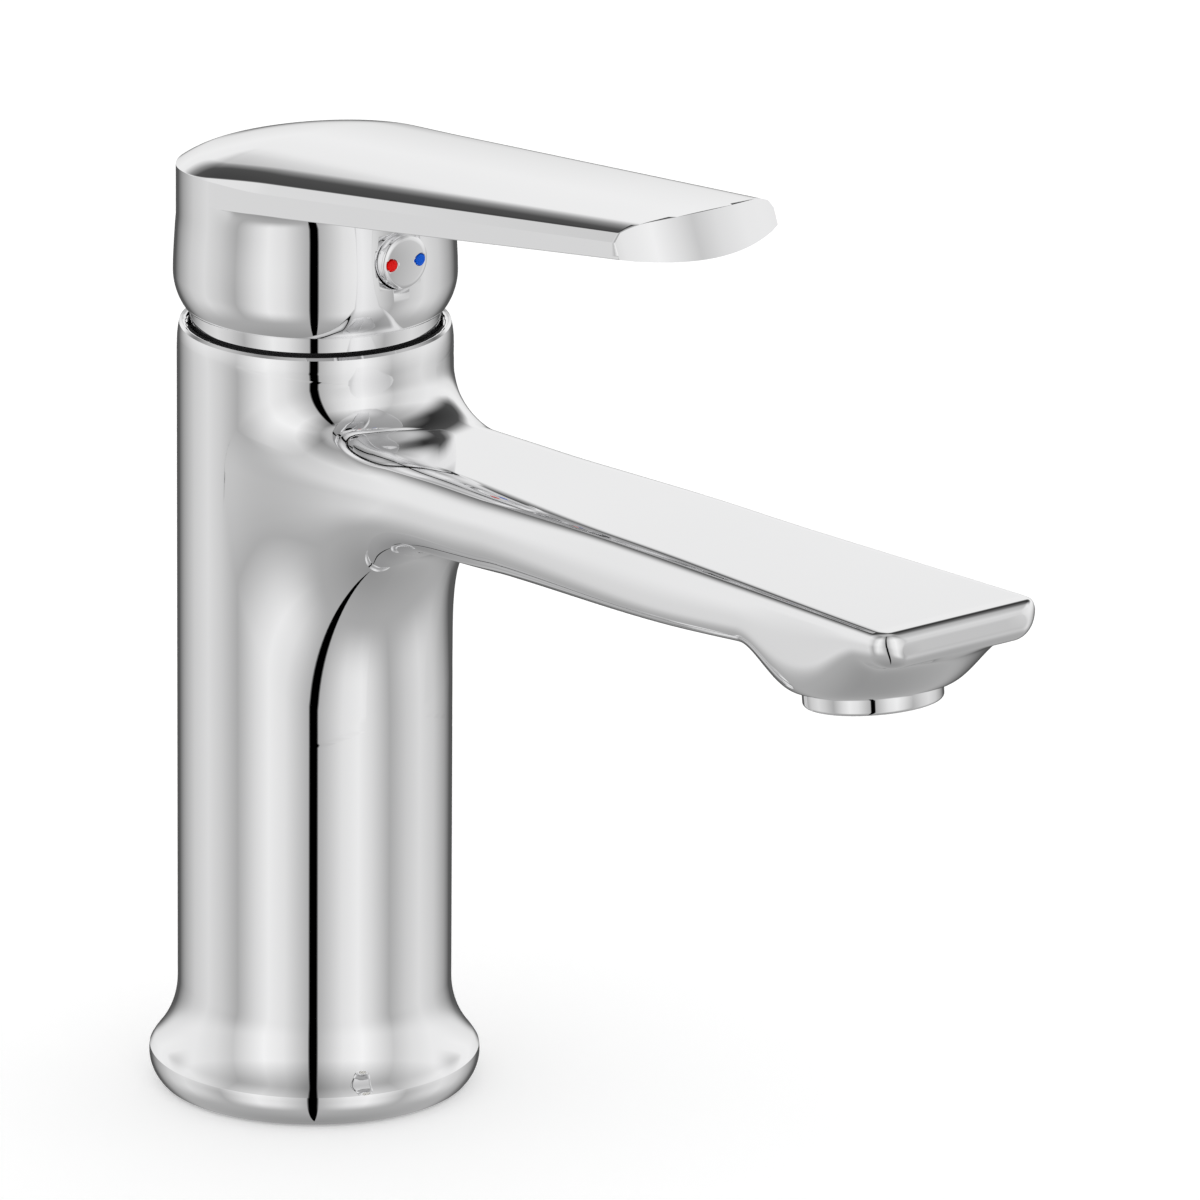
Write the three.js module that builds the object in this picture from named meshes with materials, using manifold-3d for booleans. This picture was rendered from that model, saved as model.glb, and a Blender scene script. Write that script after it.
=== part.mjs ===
// Bathroom mixer faucet: a single-lever basin mixer, in millimetres, +Z up.
// The origin is the centre of the column's foot on the basin deck; the spout and the lever point along -Y.
import * as THREE from "three";
import { mergeVertices } from "three/addons/utils/BufferGeometryUtils.js";
import Module from "manifold-3d";

const wasm = await Module();
wasm.setup();

// ---- Clearances and facets ----
const GAP = 0.3; // between pieces that touch in the real faucet
const CUT = 1; // how far a cutting tool runs past the face it opens
const FINE = 64; // facets round a big turned piece
const MEDIUM = 40;
const SMALL = 24;

// ---- Column and foot ----
const COLUMN_R = 22.5;
const COLUMN_TOP = 130;
const RIM_R = 22.1; // the column's top edge, drawn in over RIM_TAPER
const RIM_TAPER = 4;
const RIM_CHAMFER = 0.4;
const FOOT_WIDEST_R = 27.2;
const FOOT_BAND_RADIUS = 5.9; // the rounded band at the foot, and the tilts in degrees that it runs between
const FOOT_BAND_LOW = -45;
const FOOT_BAND_TOP = 10;
const FOOT_CREASE_TILT = 30; // the flare meets the band at this tilt, in a soft crease
const SHOULDER_RADIUS = 12; // convex bend above the crease
const FLARE_RADIUS = 17; // concave bend into the straight column

// ---- Under the deck face ----
const CAVITY_R = 19;
const CAVITY_TOP = 60;
const INLET_X = 7.5;
const PORT_Y = -3.5;
const INLET_R = 4.6; // M10 x 1 thread bore
const INLET_DEPTH = 12;
const RISER_R = 3.2;
const STUD_Y = 9.5;
const STUD_R = 3.4; // M8 thread bore
const STUD_DEPTH = 15;
const GASKET_IN = 20.6;
const GASKET_OUT = 23.4;
const GASKET_GROOVE = 2.4;

// ---- Cartridge chamber ----
const CHAMBER_R = 18;
const CHAMBER_FLOOR = 88;
const NUT_BORE_R = 19.2;
const NUT_BORE_Z = 119;
const RING_BORE_R = 20.9;
const RING_BORE_Z = 125;

// ---- Spout ----
const SPOUT_ROOT_W = 15.3; // half width at SPOUT_ROOT_Y
const SPOUT_TIP_W = 16.2;
const SPOUT_ROOT_Y = -50;
const SPOUT_TIP_Y = -166.5;
const SPOUT_TOP_ROOT_Z = 118.3;
const SPOUT_TOP_TIP_Z = 123.1;
const SPOUT_LOW_ROOT_Z = 103;
const SPOUT_LOW_BEND_Y = -125; // the underside rises faster beyond this
const SPOUT_LOW_BEND_Z = 110.4;
const SPOUT_LOW_TIP_Z = 117;
const SIDE_LEAN = THREE.MathUtils.degToRad(22); // how far the top of the bowed side leans in
const TOP_EDGE = 1.5; // the upper edge's radius opens out from the tip to the column
const TOP_EDGE_MIDDLE = 2.5;
const TOP_EDGE_ROOT = 5.6;
const TOP_EDGE_YS = [-160, -96, -50];
const LOW_EDGE = 4.2;
const LOW_EDGE_ROOT = 9;
const LOW_EDGE_YS = [-115, -52];
const TIP_CORNER = 4;
const TIP_TOP_ROLL = 1.6;
const TIP_LOW_ROLL = 2.4;
const TIP_LEAN = 0.09; // how far the tip's face leans back per unit of height

// ---- Blend between the spout and the column: how far it runs along each, and the share held straight ----
const BLEND_TOP = 8.6;
const BLEND_SIDE = 14;
const BLEND_LOW = 34;
const REACH_TOP = 11;
const REACH_SIDE = 27;
const REACH_LOW = 24;
const HUG_COLUMN = 0.72;
const HUG_SPOUT = 0.66;
const BLEND_SINK = 0.4; // how far the blend's end is sunk into the column

// ---- Waterway in the spout ----
const WATER_START_Y = -15;
const WATER_END_Y = -146;
const WATER_START_Z = 108.6;
const WATER_END_Z = 116.6;
const WATER_W = 9; // half width
const WATER_START_H = 3; // half height
const WATER_END_H = 2.2;

// ---- Outlet and aerator: heights run up the outlet's own axis from the aerator's lower face ----
const OUTLET_Y = -144.3;
const OUTLET_Z = 103.8;
const OUTLET_TILT = THREE.MathUtils.degToRad(7.5);
const BOSS_LOW = 2.9;
const BOSS_FLAT_R = 12;
const BOSS_SPREAD_R = 21.8;
const BOSS_TOP = 12;
const AERATOR_BORE_R = 10.8;
const AERATOR_BORE_TOP = 12.3;
const OUTLET_SEAT_R = 8.2;
const OUTLET_SEAT_TOP = 15;
const COLLAR_R = 11.1;
const COLLAR_TOP = 2.6;
const COLLAR_EDGE = 0.6;
const AERATOR_THREAD_R = 10.5;
const AERATOR_TOP = 10;
const AERATOR_IN_R = 8.6;
const AERATOR_LIP_R = 7.9;
const AERATOR_LIP_TOP = 1;
const INSERT_LOW = 1.3;
const INSERT_TOP = 5.2;
const INSERT_CELL = 1.8;
const INSERT_WALL = 0.7;
const SCREEN_LOW = 5.5;
const SCREEN_TOP = 6.3;
const SCREEN_HOLE_R = 0.7;
const SCREEN_PITCH = 2.6; // between the rings of holes
const WASHER_IN = 7.6;

// ---- Cartridge ----
const BASE_R = 16.6;
const BASE_TOP = 95;
const BASE_RECESS_Z = 91.8;
const DISC_RECESS_R = 13.5;
const SEAL_POCKET_R = 4.7;
const SEAL_POCKET_TOP = 90;
const PORT_R = 2.6;
const OUTLET_PORT_Y = 6;
const OUTLET_PORT_R = 3;
const OUTLET_CHANNEL_TOP = 91;
const PLATE_R = 13.2; // fixed ceramic disc
const PLATE_TOP = 96.3;
const SLIDER_R = 11.2; // moving ceramic disc and its carrier
const SLIDER_TOP = 100.2;
const SLIDER_POCKET_R = 9;
const SLIDER_POCKET_DEPTH = 2.2;
const SLIDER_POCKET_Y = 1;
const CARRIER_TOP = 106.5;
const PORT_SEAL_IN = 2.9;
const PORT_SEAL_OUT = 4.4;

const HOUSING_IN_R = 14.6;
const HOUSING_LOW_R = 16.6;
const HOUSING_STEP_Z = 110;
const HOUSING_R = 17.7;
const HOUSING_TOP = 124;
const HOUSING_LID_Z = 121.8;
const HOUSING_LID_R = 12;
const ORING_GROOVE_R = 16;
const ORING_LOW = 113.4;
const ORING_TOP = 116.4;

const ROTOR_R = 14.2;
const ROTOR_LOW = 106.9;
const ROTOR_STEP_Z = 121.5;
const ROTOR_NECK_R = 11.6;
const ROTOR_TOP = 127;
const SLOT_X = 4.3; // half the slot that the stem swings in
const SLOT_Y = 6.7;
const PIN_Z = 118;
const PIN_R = 2.3;
const PIN_HALF = 13;

const NUT_R = 18.9;
const NUT_IN_R = 13.2;
const NUT_TOP = 130;
const NUT_NOTCH = 3;
const NUT_NOTCHES = 6;
const RING_R = 20.4;
const RING_IN_R = 14;
const RING_SKIRT_IN = 19.3;
const RING_PLATE_Z = 130.3;
const RING_TOP = 133.4;
const RING_EDGE = 0.4;
const RING_NECK_R = 19.8; // the shadow gap under the ring's shoulder
const RING_NECK_TOP = 130.7;
const RING_GROOVE_Z = 128.5;

// ---- Stem: it leans forward at rest, and lifting the lever swings it back past upright ----
const STEM_TILT = THREE.MathUtils.degToRad(11);
const STEM_HALF = 4;
const STEM_UP = 32; // above the pin, along the stem
const STEM_ARM = 13.5; // from the pin down to the ball's centre
const BALL_R = 3.2;
const STEM_NECK = 1.8; // how much of the neck shows over the ball
const STEM_NECK_R = 2;

// ---- Handle ----
const CUP_R = 23.1;
const BLADE_R = 22.6; // the blade's round back, and the cup's wall under it
const CUP_LOW = 133;
const CUP_LOW_R = 21.4;
const CUP_IN_R = 21;
const CUP_ROUND_TOP = 138.5;
const CUP_TOP = 152;
const CUP_CEILING = 149.5;
const CUP_CEILING_R = 16;
const CUP_CEILING_CORNER = 4;
const CUP_CROWN = 151.5;
const BLADE_TIP_Y = -101;
const BLADE_TIP_W = 15.7;
const BLADE_TOP_Z = 161.6; // the ridge over the column's axis
const BLADE_TOP_SLOPE = 0.112;
const BLADE_LOW_Z = 152.9;
const BLADE_LOW_SLOPE = 0.1265;
const BLADE_BELLY = 1.8; // the underside's edges stand this much above its middle at the tip
const CROWN_CUP = 3.1; // fall from the ridge to the edge over the cup
const CROWN_TIP = 0.6;
const BLANK_Y = -112; // the blade is made this long and its tip face is cut
const RIDGE_END = -104;
const FACE_LOW = [-104.5, 166.1]; // y and z of the tip face's lower and upper edge in the middle
const FACE_TOP = [-101.9, 171.8];
const FACE_BOW = 4.2; // how far the face's middle stands ahead of its sides
const ROLL_ACROSS = 4.35; // the soft roll beside the blade's upper edge
const ROLL_FALL = 0.75;
const FACET_ACROSS = 1.1; // the bevel below it, which fades out over the cup
const FACET_FALL = 1.3;
const FACET_FULL_Y = -15;
const FACET_NONE_Y = 7;
const BLADE_LOW_EDGE = 0.5;
const SOCKET_HALF = 7.4;
const SOCKET_LOW = 20; // above the pin, along the stem
const SOCKET_TOP = 36;

const PLUG_Z = 145.4;
const PLUG_R = 4.55;
const PLUG_HOLE_R = 4.85;
const PLUG_FACE_Y = -24.3;
const PLUG_BACK_Y = -19.5;
const PLUG_DOME = 0.5;
const DOT_X = 2.8;
const DOT_R = 0.95;
const DOT_DEEP = 0.5;
const DOT_PROUD = 0.08;
const SCREW_R = 2.4;
const SCREW_LENGTH = 6;
const SCREW_HOLE_R = 2.7;
const SCREW_HEX_R = 1.4;
const SCREW_HEX_DEEP = 2.5;

// ---- Materials ----
function material(color, roughness, metalness) {
  return new THREE.MeshStandardMaterial({ color, roughness, metalness });
}
const CHROME = material(0xd8dadd, 0.06, 1);
const BRASS = material(0xc2a25a, 0.35, 1);
const STEEL = material(0xb4b6b8, 0.3, 1);
const CERAMIC = material(0xf1efe9, 0.25, 0);
const WHITE_PLASTIC = material(0xe6e4dd, 0.5, 0);
const GREY_PLASTIC = material(0x9fa3a6, 0.5, 0);
const RUBBER = material(0x1b1b1c, 0.8, 0);
const RED = material(0xd81e1e, 0.35, 0);
const BLUE = material(0x1f63d2, 0.35, 0);

// ---- Geometry helpers ----
function toSolid(geometry) {
  const bare = geometry.clone();
  bare.deleteAttribute("normal");
  bare.deleteAttribute("uv");
  const merged = mergeVertices(bare, 1e-4);
  const index = merged.index.array;
  const triVerts = [];
  for (let i = 0; i < index.length; i += 3) {
    const [a, b, c] = [index[i], index[i + 1], index[i + 2]];
    if (a !== b && b !== c && c !== a) triVerts.push(a, b, c);
  }
  return new wasm.Manifold(
    new wasm.Mesh({
      numProp: 3,
      vertProperties: new Float32Array(merged.attributes.position.array),
      triVerts: new Uint32Array(triVerts),
    }),
  );
}

// The round stretch about [r, z] from angle a to angle b, in degrees, as steps + 1 profile points.
function arc(r, z, radius, a, b, steps) {
  return Array.from({ length: steps + 1 }, (_, i) => {
    const angle = THREE.MathUtils.degToRad(a + ((b - a) * i) / steps);
    return [r + radius * Math.cos(angle), z + radius * Math.sin(angle)];
  });
}

// Turns a profile of [r, z] points, which runs anticlockwise, about Z. It closes on itself.
function turned(profile, segments) {
  const loop = [...profile, profile[0]].map(([r, z]) => new THREE.Vector2(r, z));
  return toSolid(new THREE.LatheGeometry(loop, segments).rotateX(Math.PI / 2));
}

function tube(inner, outer, low, high, segments) {
  return turned([[inner, low], [outer, low], [outer, high], [inner, high]], segments);
}

// A round bar along Z.
function rod(r, low, high, segments) {
  return tube(0, r, low, high, segments);
}

// A round bar along Y, between two values of y.
function rodAlongY(r, from, to, segments) {
  const bar = new THREE.CylinderGeometry(r, r, to - from, segments);
  return toSolid(bar.translate(0, (from + to) / 2, 0));
}

function box(x0, x1, y0, y1, z0, z1) {
  const block = new THREE.BoxGeometry(x1 - x0, y1 - y0, z1 - z0);
  return toSolid(block.translate((x0 + x1) / 2, (y0 + y1) / 2, (z0 + z1) / 2));
}

// A skin through rings of equally many points, each a list of Vector3, closed with a flat fan at both ends.
function skinned(rings) {
  const count = rings[0].length;
  const points = rings.flat();
  const triangles = [];
  rings.slice(1).forEach((_, j) => {
    for (let i = 0; i < count; i++) {
      const [a, b] = [j * count + i, j * count + ((i + 1) % count)];
      triangles.push(a, b, b + count, a, b + count, a + count);
    }
  });
  const middle = (ring) =>
    ring.reduce((sum, p) => sum.add(p), new THREE.Vector3()).divideScalar(count);
  const last = (rings.length - 1) * count;
  points.push(middle(rings[0]), middle(rings.at(-1)));
  for (let i = 0; i < count; i++) {
    const next = (i + 1) % count;
    triangles.push(points.length - 2, next, i);
    triangles.push(points.length - 1, last + i, last + next);
  }
  const geometry = new THREE.BufferGeometry().setFromPoints(points);
  geometry.setIndex(triangles);
  return toSolid(geometry);
}

const group = new THREE.Group();

function add(name, solid, look) {
  const mesh = solid.getMesh();
  const geometry = new THREE.BufferGeometry();
  geometry.setAttribute("position", new THREE.BufferAttribute(mesh.vertProperties, 3));
  geometry.setIndex(new THREE.BufferAttribute(mesh.triVerts, 1));
  geometry.computeVertexNormals();
  const piece = new THREE.Mesh(geometry, look.clone());
  piece.name = name;
  group.add(piece);
}

// ---- Frames that some pieces are drawn in ----
// From the outlet's own axis to the faucet.
function atOutlet(solid) {
  const tilt = THREE.MathUtils.radToDeg(OUTLET_TILT);
  return solid.rotate([-tilt, 0, 0]).translate([0, OUTLET_Y, OUTLET_Z]);
}

// From upright over the pin's middle to the leaning stem.
function atStem(solid) {
  const tilt = THREE.MathUtils.radToDeg(STEM_TILT);
  return solid.rotate([tilt, 0, 0]).translate([0, 0, PIN_Z]);
}

// Where the ball at the stem's lower end rests, and the disc and its carrier with it.
const BALL_Y = STEM_ARM * Math.sin(STEM_TILT);

// ---- Body ----
function columnOutside() {
  const band = FOOT_WIDEST_R - FOOT_BAND_RADIUS;
  const bandZ = -FOOT_BAND_RADIUS * Math.sin(THREE.MathUtils.degToRad(FOOT_BAND_LOW));
  const rim = arc(band, bandZ, FOOT_BAND_RADIUS, FOOT_BAND_LOW, FOOT_BAND_TOP, 6);
  // The shoulder and the flare meet on the line between their centres.
  const crease = THREE.MathUtils.degToRad(FOOT_CREASE_TILT);
  const [creaseR, creaseZ] = rim.at(-1);
  const shoulder = creaseR - SHOULDER_RADIUS * Math.cos(crease);
  const shoulderZ = creaseZ - SHOULDER_RADIUS * Math.sin(crease);
  const step = FLARE_RADIUS + SHOULDER_RADIUS;
  const turn = Math.acos((COLUMN_R + FLARE_RADIUS - shoulder) / step);
  const meet = THREE.MathUtils.radToDeg(turn);
  const flareZ = shoulderZ + step * Math.sin(turn);
  return [
    [0, 0],
    ...rim,
    ...arc(shoulder, shoulderZ, SHOULDER_RADIUS, FOOT_CREASE_TILT, meet, 2).slice(1),
    ...arc(COLUMN_R + FLARE_RADIUS, flareZ, FLARE_RADIUS, 180 + meet, 180, 8).slice(1),
    [COLUMN_R, COLUMN_TOP - RIM_TAPER],
    [RIM_R, COLUMN_TOP - RIM_CHAMFER],
    [RIM_R - RIM_CHAMFER, COLUMN_TOP],
    [0, COLUMN_TOP],
  ];
}

function lerp(a, b, share) {
  return a + (b - a) * share;
}

function lerpY(y, y0, v0, y1, v1) {
  return lerp(v0, v1, (y - y0) / (y1 - y0));
}

function topEdge(y) {
  const [far, middle, near] = TOP_EDGE_YS;
  const outer = (TOP_EDGE_MIDDLE - TOP_EDGE) * THREE.MathUtils.smoothstep(y, far, middle);
  const inner = (TOP_EDGE_ROOT - TOP_EDGE_MIDDLE) * THREE.MathUtils.smoothstep(y, middle, near);
  return TOP_EDGE + outer + inner;
}

// The spout's outline at a distance y, as points with the outward direction of each. Its sides bow out below
// their leaning tops. `inset` draws it in at the sides, over and under.
function spoutSection(y, inset = { side: 0, over: 0, under: 0 }) {
  const w = lerpY(y, SPOUT_ROOT_Y, SPOUT_ROOT_W, SPOUT_TIP_Y, SPOUT_TIP_W) - inset.side;
  const top = lerpY(y, SPOUT_ROOT_Y, SPOUT_TOP_ROOT_Z, SPOUT_TIP_Y, SPOUT_TOP_TIP_Z) - inset.over;
  const low = inset.under + (y > SPOUT_LOW_BEND_Y
    ? lerpY(y, SPOUT_ROOT_Y, SPOUT_LOW_ROOT_Z, SPOUT_LOW_BEND_Y, SPOUT_LOW_BEND_Z)
    : lerpY(y, SPOUT_LOW_BEND_Y, SPOUT_LOW_BEND_Z, SPOUT_TIP_Y, SPOUT_LOW_TIP_Z));
  const edge = Math.min(topEdge(y), (top - low) / 2);
  const lowWanted = lerp(LOW_EDGE, LOW_EDGE_ROOT, THREE.MathUtils.smoothstep(y, ...LOW_EDGE_YS));
  const lowEdge = Math.min(lowWanted, (top - low - edge) * 0.9);
  const sideTop = top - edge * (1 - Math.sin(SIDE_LEAN));
  const sideLow = low + lowEdge;
  const bow = (Math.tan(SIDE_LEAN) * (sideTop - sideLow)) / 2;
  const topW = w - bow - edge * Math.cos(SIDE_LEAN);
  const half = [];
  for (const share of [0, 0.5]) half.push({ x: topW * share, z: top, n: [0, 1] });
  for (let i = 4; i >= 0; i--) {
    const turn = lerp(SIDE_LEAN, Math.PI / 2, i / 4);
    const n = [Math.cos(turn), Math.sin(turn)];
    half.push({ x: topW + edge * n[0], z: top - edge + edge * n[1], n });
  }
  for (const share of [0.33, 0.67]) {
    const turn = Math.atan(Math.tan(SIDE_LEAN) * (1 - share));
    const x = w - bow * (1 - share) ** 2;
    half.push({ x, z: lerp(sideTop, sideLow, share), n: [Math.cos(turn), Math.sin(turn)] });
  }
  for (let i = 0; i <= 5; i++) {
    const turn = (Math.PI / 2) * (i / 5);
    const n = [Math.cos(turn), -Math.sin(turn)];
    half.push({ x: w - lowEdge + lowEdge * n[0], z: sideLow + lowEdge * n[1], n });
  }
  half.push({ x: (w - lowEdge) / 2, z: low, n: [0, -1] }, { x: 0, z: low, n: [0, -1] });
  const left = half.map((p) => ({ x: -p.x, z: p.z, n: [-p.n[0], p.n[1]] }));
  return [...half.slice(1, -1).reverse(), ...left.slice(0, -1), left.at(-1)];
}

// The six control points of the blend's line from one point of the spout's root, from the column outwards.
function blendLine(root, i) {
  const [nx, nz] = root.n;
  const reachEnd = nz > 0 ? REACH_TOP : REACH_LOW;
  const reach = REACH_SIDE + (reachEnd - REACH_SIDE) * nz * nz;
  const across = nx * BLEND_SIDE;
  const up = nz * (nz > 0 ? BLEND_TOP : BLEND_LOW);
  const turn = Math.asin(root.x / COLUMN_R) + across / COLUMN_R;
  const onSpout = (y) => {
    const p = spoutSection(y)[i];
    return new THREE.Vector3(p.x, y, p.z);
  };
  const startY = -Math.sqrt(COLUMN_R ** 2 - root.x ** 2) - reach;
  const start = onSpout(startY);
  const ahead = onSpout(startY + 1).sub(start);
  const touch = new THREE.Vector3(COLUMN_R * Math.sin(turn), -COLUMN_R * Math.cos(turn), root.z + up);
  const away = new THREE.Vector3(Math.cos(turn) * across, Math.sin(turn) * across, up);
  const along = (share) => start.clone().addScaledVector(ahead, share * HUG_SPOUT * reach);
  const down = (share) => touch.clone().addScaledVector(away, -share * HUG_COLUMN);
  return [touch, down(0.5), down(1), along(1), along(0.5), start];
}

function onCurve(points, t) {
  let row = points;
  while (row.length > 1) row = row.slice(1).map((p, i) => row[i].clone().lerp(p, t));
  return row[0];
}

// A ring moved towards the column's axis by `depth`.
function sunk(ring, depth) {
  return ring.map((p) => {
    const share = 1 - depth / Math.hypot(p.x, p.y);
    return new THREE.Vector3(p.x * share, p.y * share, p.z);
  });
}

function spoutOutside() {
  const lines = spoutSection(-COLUMN_R).map(blendLine);
  const blend = [0.12, 0.2, 0.3, 0.4, 0.5, 0.6, 0.7, 0.85, 1].map((t) =>
    lines.map((points) => onCurve(points, t)));
  const rings = [sunk(blend[0], 8), sunk(blend[0], BLEND_SINK), ...blend];
  for (const y of [-70, -80, -90, -100, -110, -125, -140, -155])
    rings.push(spoutSection(y).map((p) => new THREE.Vector3(p.x, y, p.z)));
  const inset = (radius, ahead) => radius - Math.sqrt(radius ** 2 - Math.max(0, radius - ahead) ** 2);
  for (const angle of [0, 25, 45, 65, 90]) {
    const turn = THREE.MathUtils.degToRad(angle);
    const ahead = TIP_CORNER * (1 - Math.sin(turn));
    const y = SPOUT_TIP_Y + ahead;
    const insets = {
      side: inset(TIP_CORNER, ahead),
      over: inset(TIP_TOP_ROLL, ahead),
      under: inset(TIP_LOW_ROLL, ahead),
    };
    rings.push(spoutSection(y, insets).map((p) => {
      const lean = TIP_LEAN * Math.max(0, p.z - SPOUT_LOW_TIP_Z) * Math.sin(turn);
      return new THREE.Vector3(p.x, y + lean, p.z);
    }));
  }
  return skinned(rings);
}

// The outlet boss: turned, with a flat face and an S-shaped flare, then trimmed to the spout's width.
function outletBoss() {
  const flare = Array.from({ length: 9 }, (_, i) => {
    const r = lerp(BOSS_FLAT_R, BOSS_SPREAD_R, i / 8);
    const rise = THREE.MathUtils.smoothstep(r, BOSS_FLAT_R, BOSS_SPREAD_R);
    return [r, lerp(BOSS_LOW, BOSS_TOP, rise)];
  });
  const top = BOSS_TOP + CUT;
  const boss = atOutlet(turned([[0, BOSS_LOW], ...flare, [BOSS_SPREAD_R, top], [0, top]], MEDIUM));
  const w = SPOUT_ROOT_W - TIP_LOW_ROLL;
  const front = SPOUT_TIP_Y + TIP_LOW_ROLL;
  return boss.intersect(box(-w, w, front, 0, 0, SPOUT_TOP_ROOT_Z + CUT));
}

function waterway() {
  const ring = (y) => {
    const z = lerpY(y, WATER_START_Y, WATER_START_Z, WATER_END_Y, WATER_END_Z);
    const h = lerpY(y, WATER_START_Y, WATER_START_H, WATER_END_Y, WATER_END_H);
    return Array.from({ length: 12 }, (_, i) => {
      const angle = (2 * Math.PI * (i + 0.5)) / 12;
      return new THREE.Vector3(WATER_W * Math.cos(angle), y, z + h * Math.sin(angle));
    });
  };
  return skinned([WATER_START_Y, WATER_END_Y].map(ring));
}

function outletBore() {
  return atOutlet(turned([
    [0, 0],
    [AERATOR_BORE_R, 0],
    [AERATOR_BORE_R, AERATOR_BORE_TOP],
    [OUTLET_SEAT_R, AERATOR_BORE_TOP],
    [OUTLET_SEAT_R, OUTLET_SEAT_TOP],
    [0, OUTLET_SEAT_TOP],
  ], MEDIUM));
}

function chamber() {
  return turned([
    [0, CHAMBER_FLOOR],
    [CHAMBER_R, CHAMBER_FLOOR],
    [CHAMBER_R, NUT_BORE_Z],
    [NUT_BORE_R, NUT_BORE_Z],
    [NUT_BORE_R, RING_BORE_Z],
    [RING_BORE_R, RING_BORE_Z],
    [RING_BORE_R, COLUMN_TOP + CUT],
    [0, COLUMN_TOP + CUT],
  ], MEDIUM);
}

// A water inlet: the thread bore under the column and its riser to the chamber.
function inlet(x) {
  const mouth = rod(INLET_R, CAVITY_TOP - CUT, CAVITY_TOP + INLET_DEPTH, SMALL);
  const riser = rod(RISER_R, CAVITY_TOP, CHAMBER_FLOOR + CUT, SMALL);
  return mouth.add(riser).translate([x, PORT_Y, 0]);
}

function body() {
  let solid = turned(columnOutside(), FINE).add(spoutOutside()).add(outletBoss());
  const stud = rod(STUD_R, CAVITY_TOP - CUT, CAVITY_TOP + STUD_DEPTH, SMALL).translate([0, STUD_Y, 0]);
  const cuts = [
    chamber(),
    waterway(),
    outletBore(),
    rod(CAVITY_R, -CUT, CAVITY_TOP, MEDIUM),
    inlet(INLET_X),
    inlet(-INLET_X),
    stud,
    tube(GASKET_IN, GASKET_OUT, -CUT, GASKET_GROOVE, MEDIUM),
  ];
  for (const cut of cuts) solid = solid.subtract(cut);
  return solid;
}

function baseGasket() {
  return tube(GASKET_IN + GAP, GASKET_OUT - GAP, 0, GASKET_GROOVE - GAP, MEDIUM);
}

// ---- Cartridge ----
function cartridgeBase() {
  let solid = rod(BASE_R, CHAMBER_FLOOR + GAP, BASE_TOP, MEDIUM);
  solid = solid.subtract(rod(DISC_RECESS_R, BASE_RECESS_Z, BASE_TOP + CUT, MEDIUM));
  for (const x of [-INLET_X, INLET_X]) {
    const port = rod(PORT_R, CHAMBER_FLOOR, BASE_TOP, SMALL);
    const pocket = rod(SEAL_POCKET_R, CHAMBER_FLOOR, SEAL_POCKET_TOP, SMALL);
    solid = solid.subtract(port.add(pocket).translate([x, PORT_Y, 0]));
  }
  // The mixed water leaves down through the base and out at its back.
  const drop = rod(OUTLET_PORT_R, CHAMBER_FLOOR, BASE_TOP, SMALL).translate([0, OUTLET_PORT_Y, 0]);
  const half = OUTLET_PORT_R;
  const channel = box(-half, half, OUTLET_PORT_Y, BASE_R + CUT, CHAMBER_FLOOR, OUTLET_CHANNEL_TOP);
  return solid.subtract(drop).subtract(channel);
}

function portSeal(x) {
  const ring = tube(PORT_SEAL_IN, PORT_SEAL_OUT, CHAMBER_FLOOR + GAP, SEAL_POCKET_TOP - GAP, SMALL);
  return ring.translate([x, PORT_Y, 0]);
}

function fixedDisc() {
  let solid = rod(PLATE_R, BASE_RECESS_Z + GAP, PLATE_TOP, MEDIUM);
  for (const x of [-INLET_X, INLET_X])
    solid = solid.subtract(rod(PORT_R, BASE_RECESS_Z, PLATE_TOP + CUT, SMALL).translate([x, PORT_Y, 0]));
  const outlet = rod(OUTLET_PORT_R, BASE_RECESS_Z, PLATE_TOP + CUT, SMALL);
  return solid.subtract(outlet.translate([0, OUTLET_PORT_Y, 0]));
}

function movingDisc() {
  const low = PLATE_TOP + GAP;
  const disc = rod(SLIDER_R, low, SLIDER_TOP, MEDIUM).translate([0, BALL_Y, 0]);
  const round = rod(SLIDER_POCKET_R, low - CUT, low + SLIDER_POCKET_DEPTH, SMALL).translate([0, BALL_Y, 0]);
  const half = box(-SLIDER_R, SLIDER_R, SLIDER_POCKET_Y, 2 * SLIDER_R, low - CUT, SLIDER_TOP);
  return disc.subtract(round.intersect(half));
}

function discCarrier() {
  const plate = rod(SLIDER_R, SLIDER_TOP + GAP, CARRIER_TOP, MEDIUM);
  // The ball is at its lowest when the stem stands upright.
  const floor = PIN_Z - STEM_ARM - BALL_R - GAP;
  const socket = rod(BALL_R + GAP, floor, CARRIER_TOP + CUT, SMALL);
  return plate.subtract(socket).translate([0, BALL_Y, 0]);
}

function cartridgeHousing() {
  return turned([
    [HOUSING_IN_R, BASE_TOP + GAP],
    [HOUSING_LOW_R, BASE_TOP + GAP],
    [HOUSING_LOW_R, HOUSING_STEP_Z],
    [HOUSING_R, HOUSING_STEP_Z],
    [HOUSING_R, ORING_LOW],
    [ORING_GROOVE_R, ORING_LOW],
    [ORING_GROOVE_R, ORING_TOP],
    [HOUSING_R, ORING_TOP],
    [HOUSING_R, HOUSING_TOP],
    [HOUSING_LID_R, HOUSING_TOP],
    [HOUSING_LID_R, HOUSING_LID_Z],
    [HOUSING_IN_R, HOUSING_LID_Z],
  ], MEDIUM);
}

function housingOring() {
  return tube(ORING_GROOVE_R + GAP, CHAMBER_R - GAP, ORING_LOW + GAP, ORING_TOP - GAP, MEDIUM);
}

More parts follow.
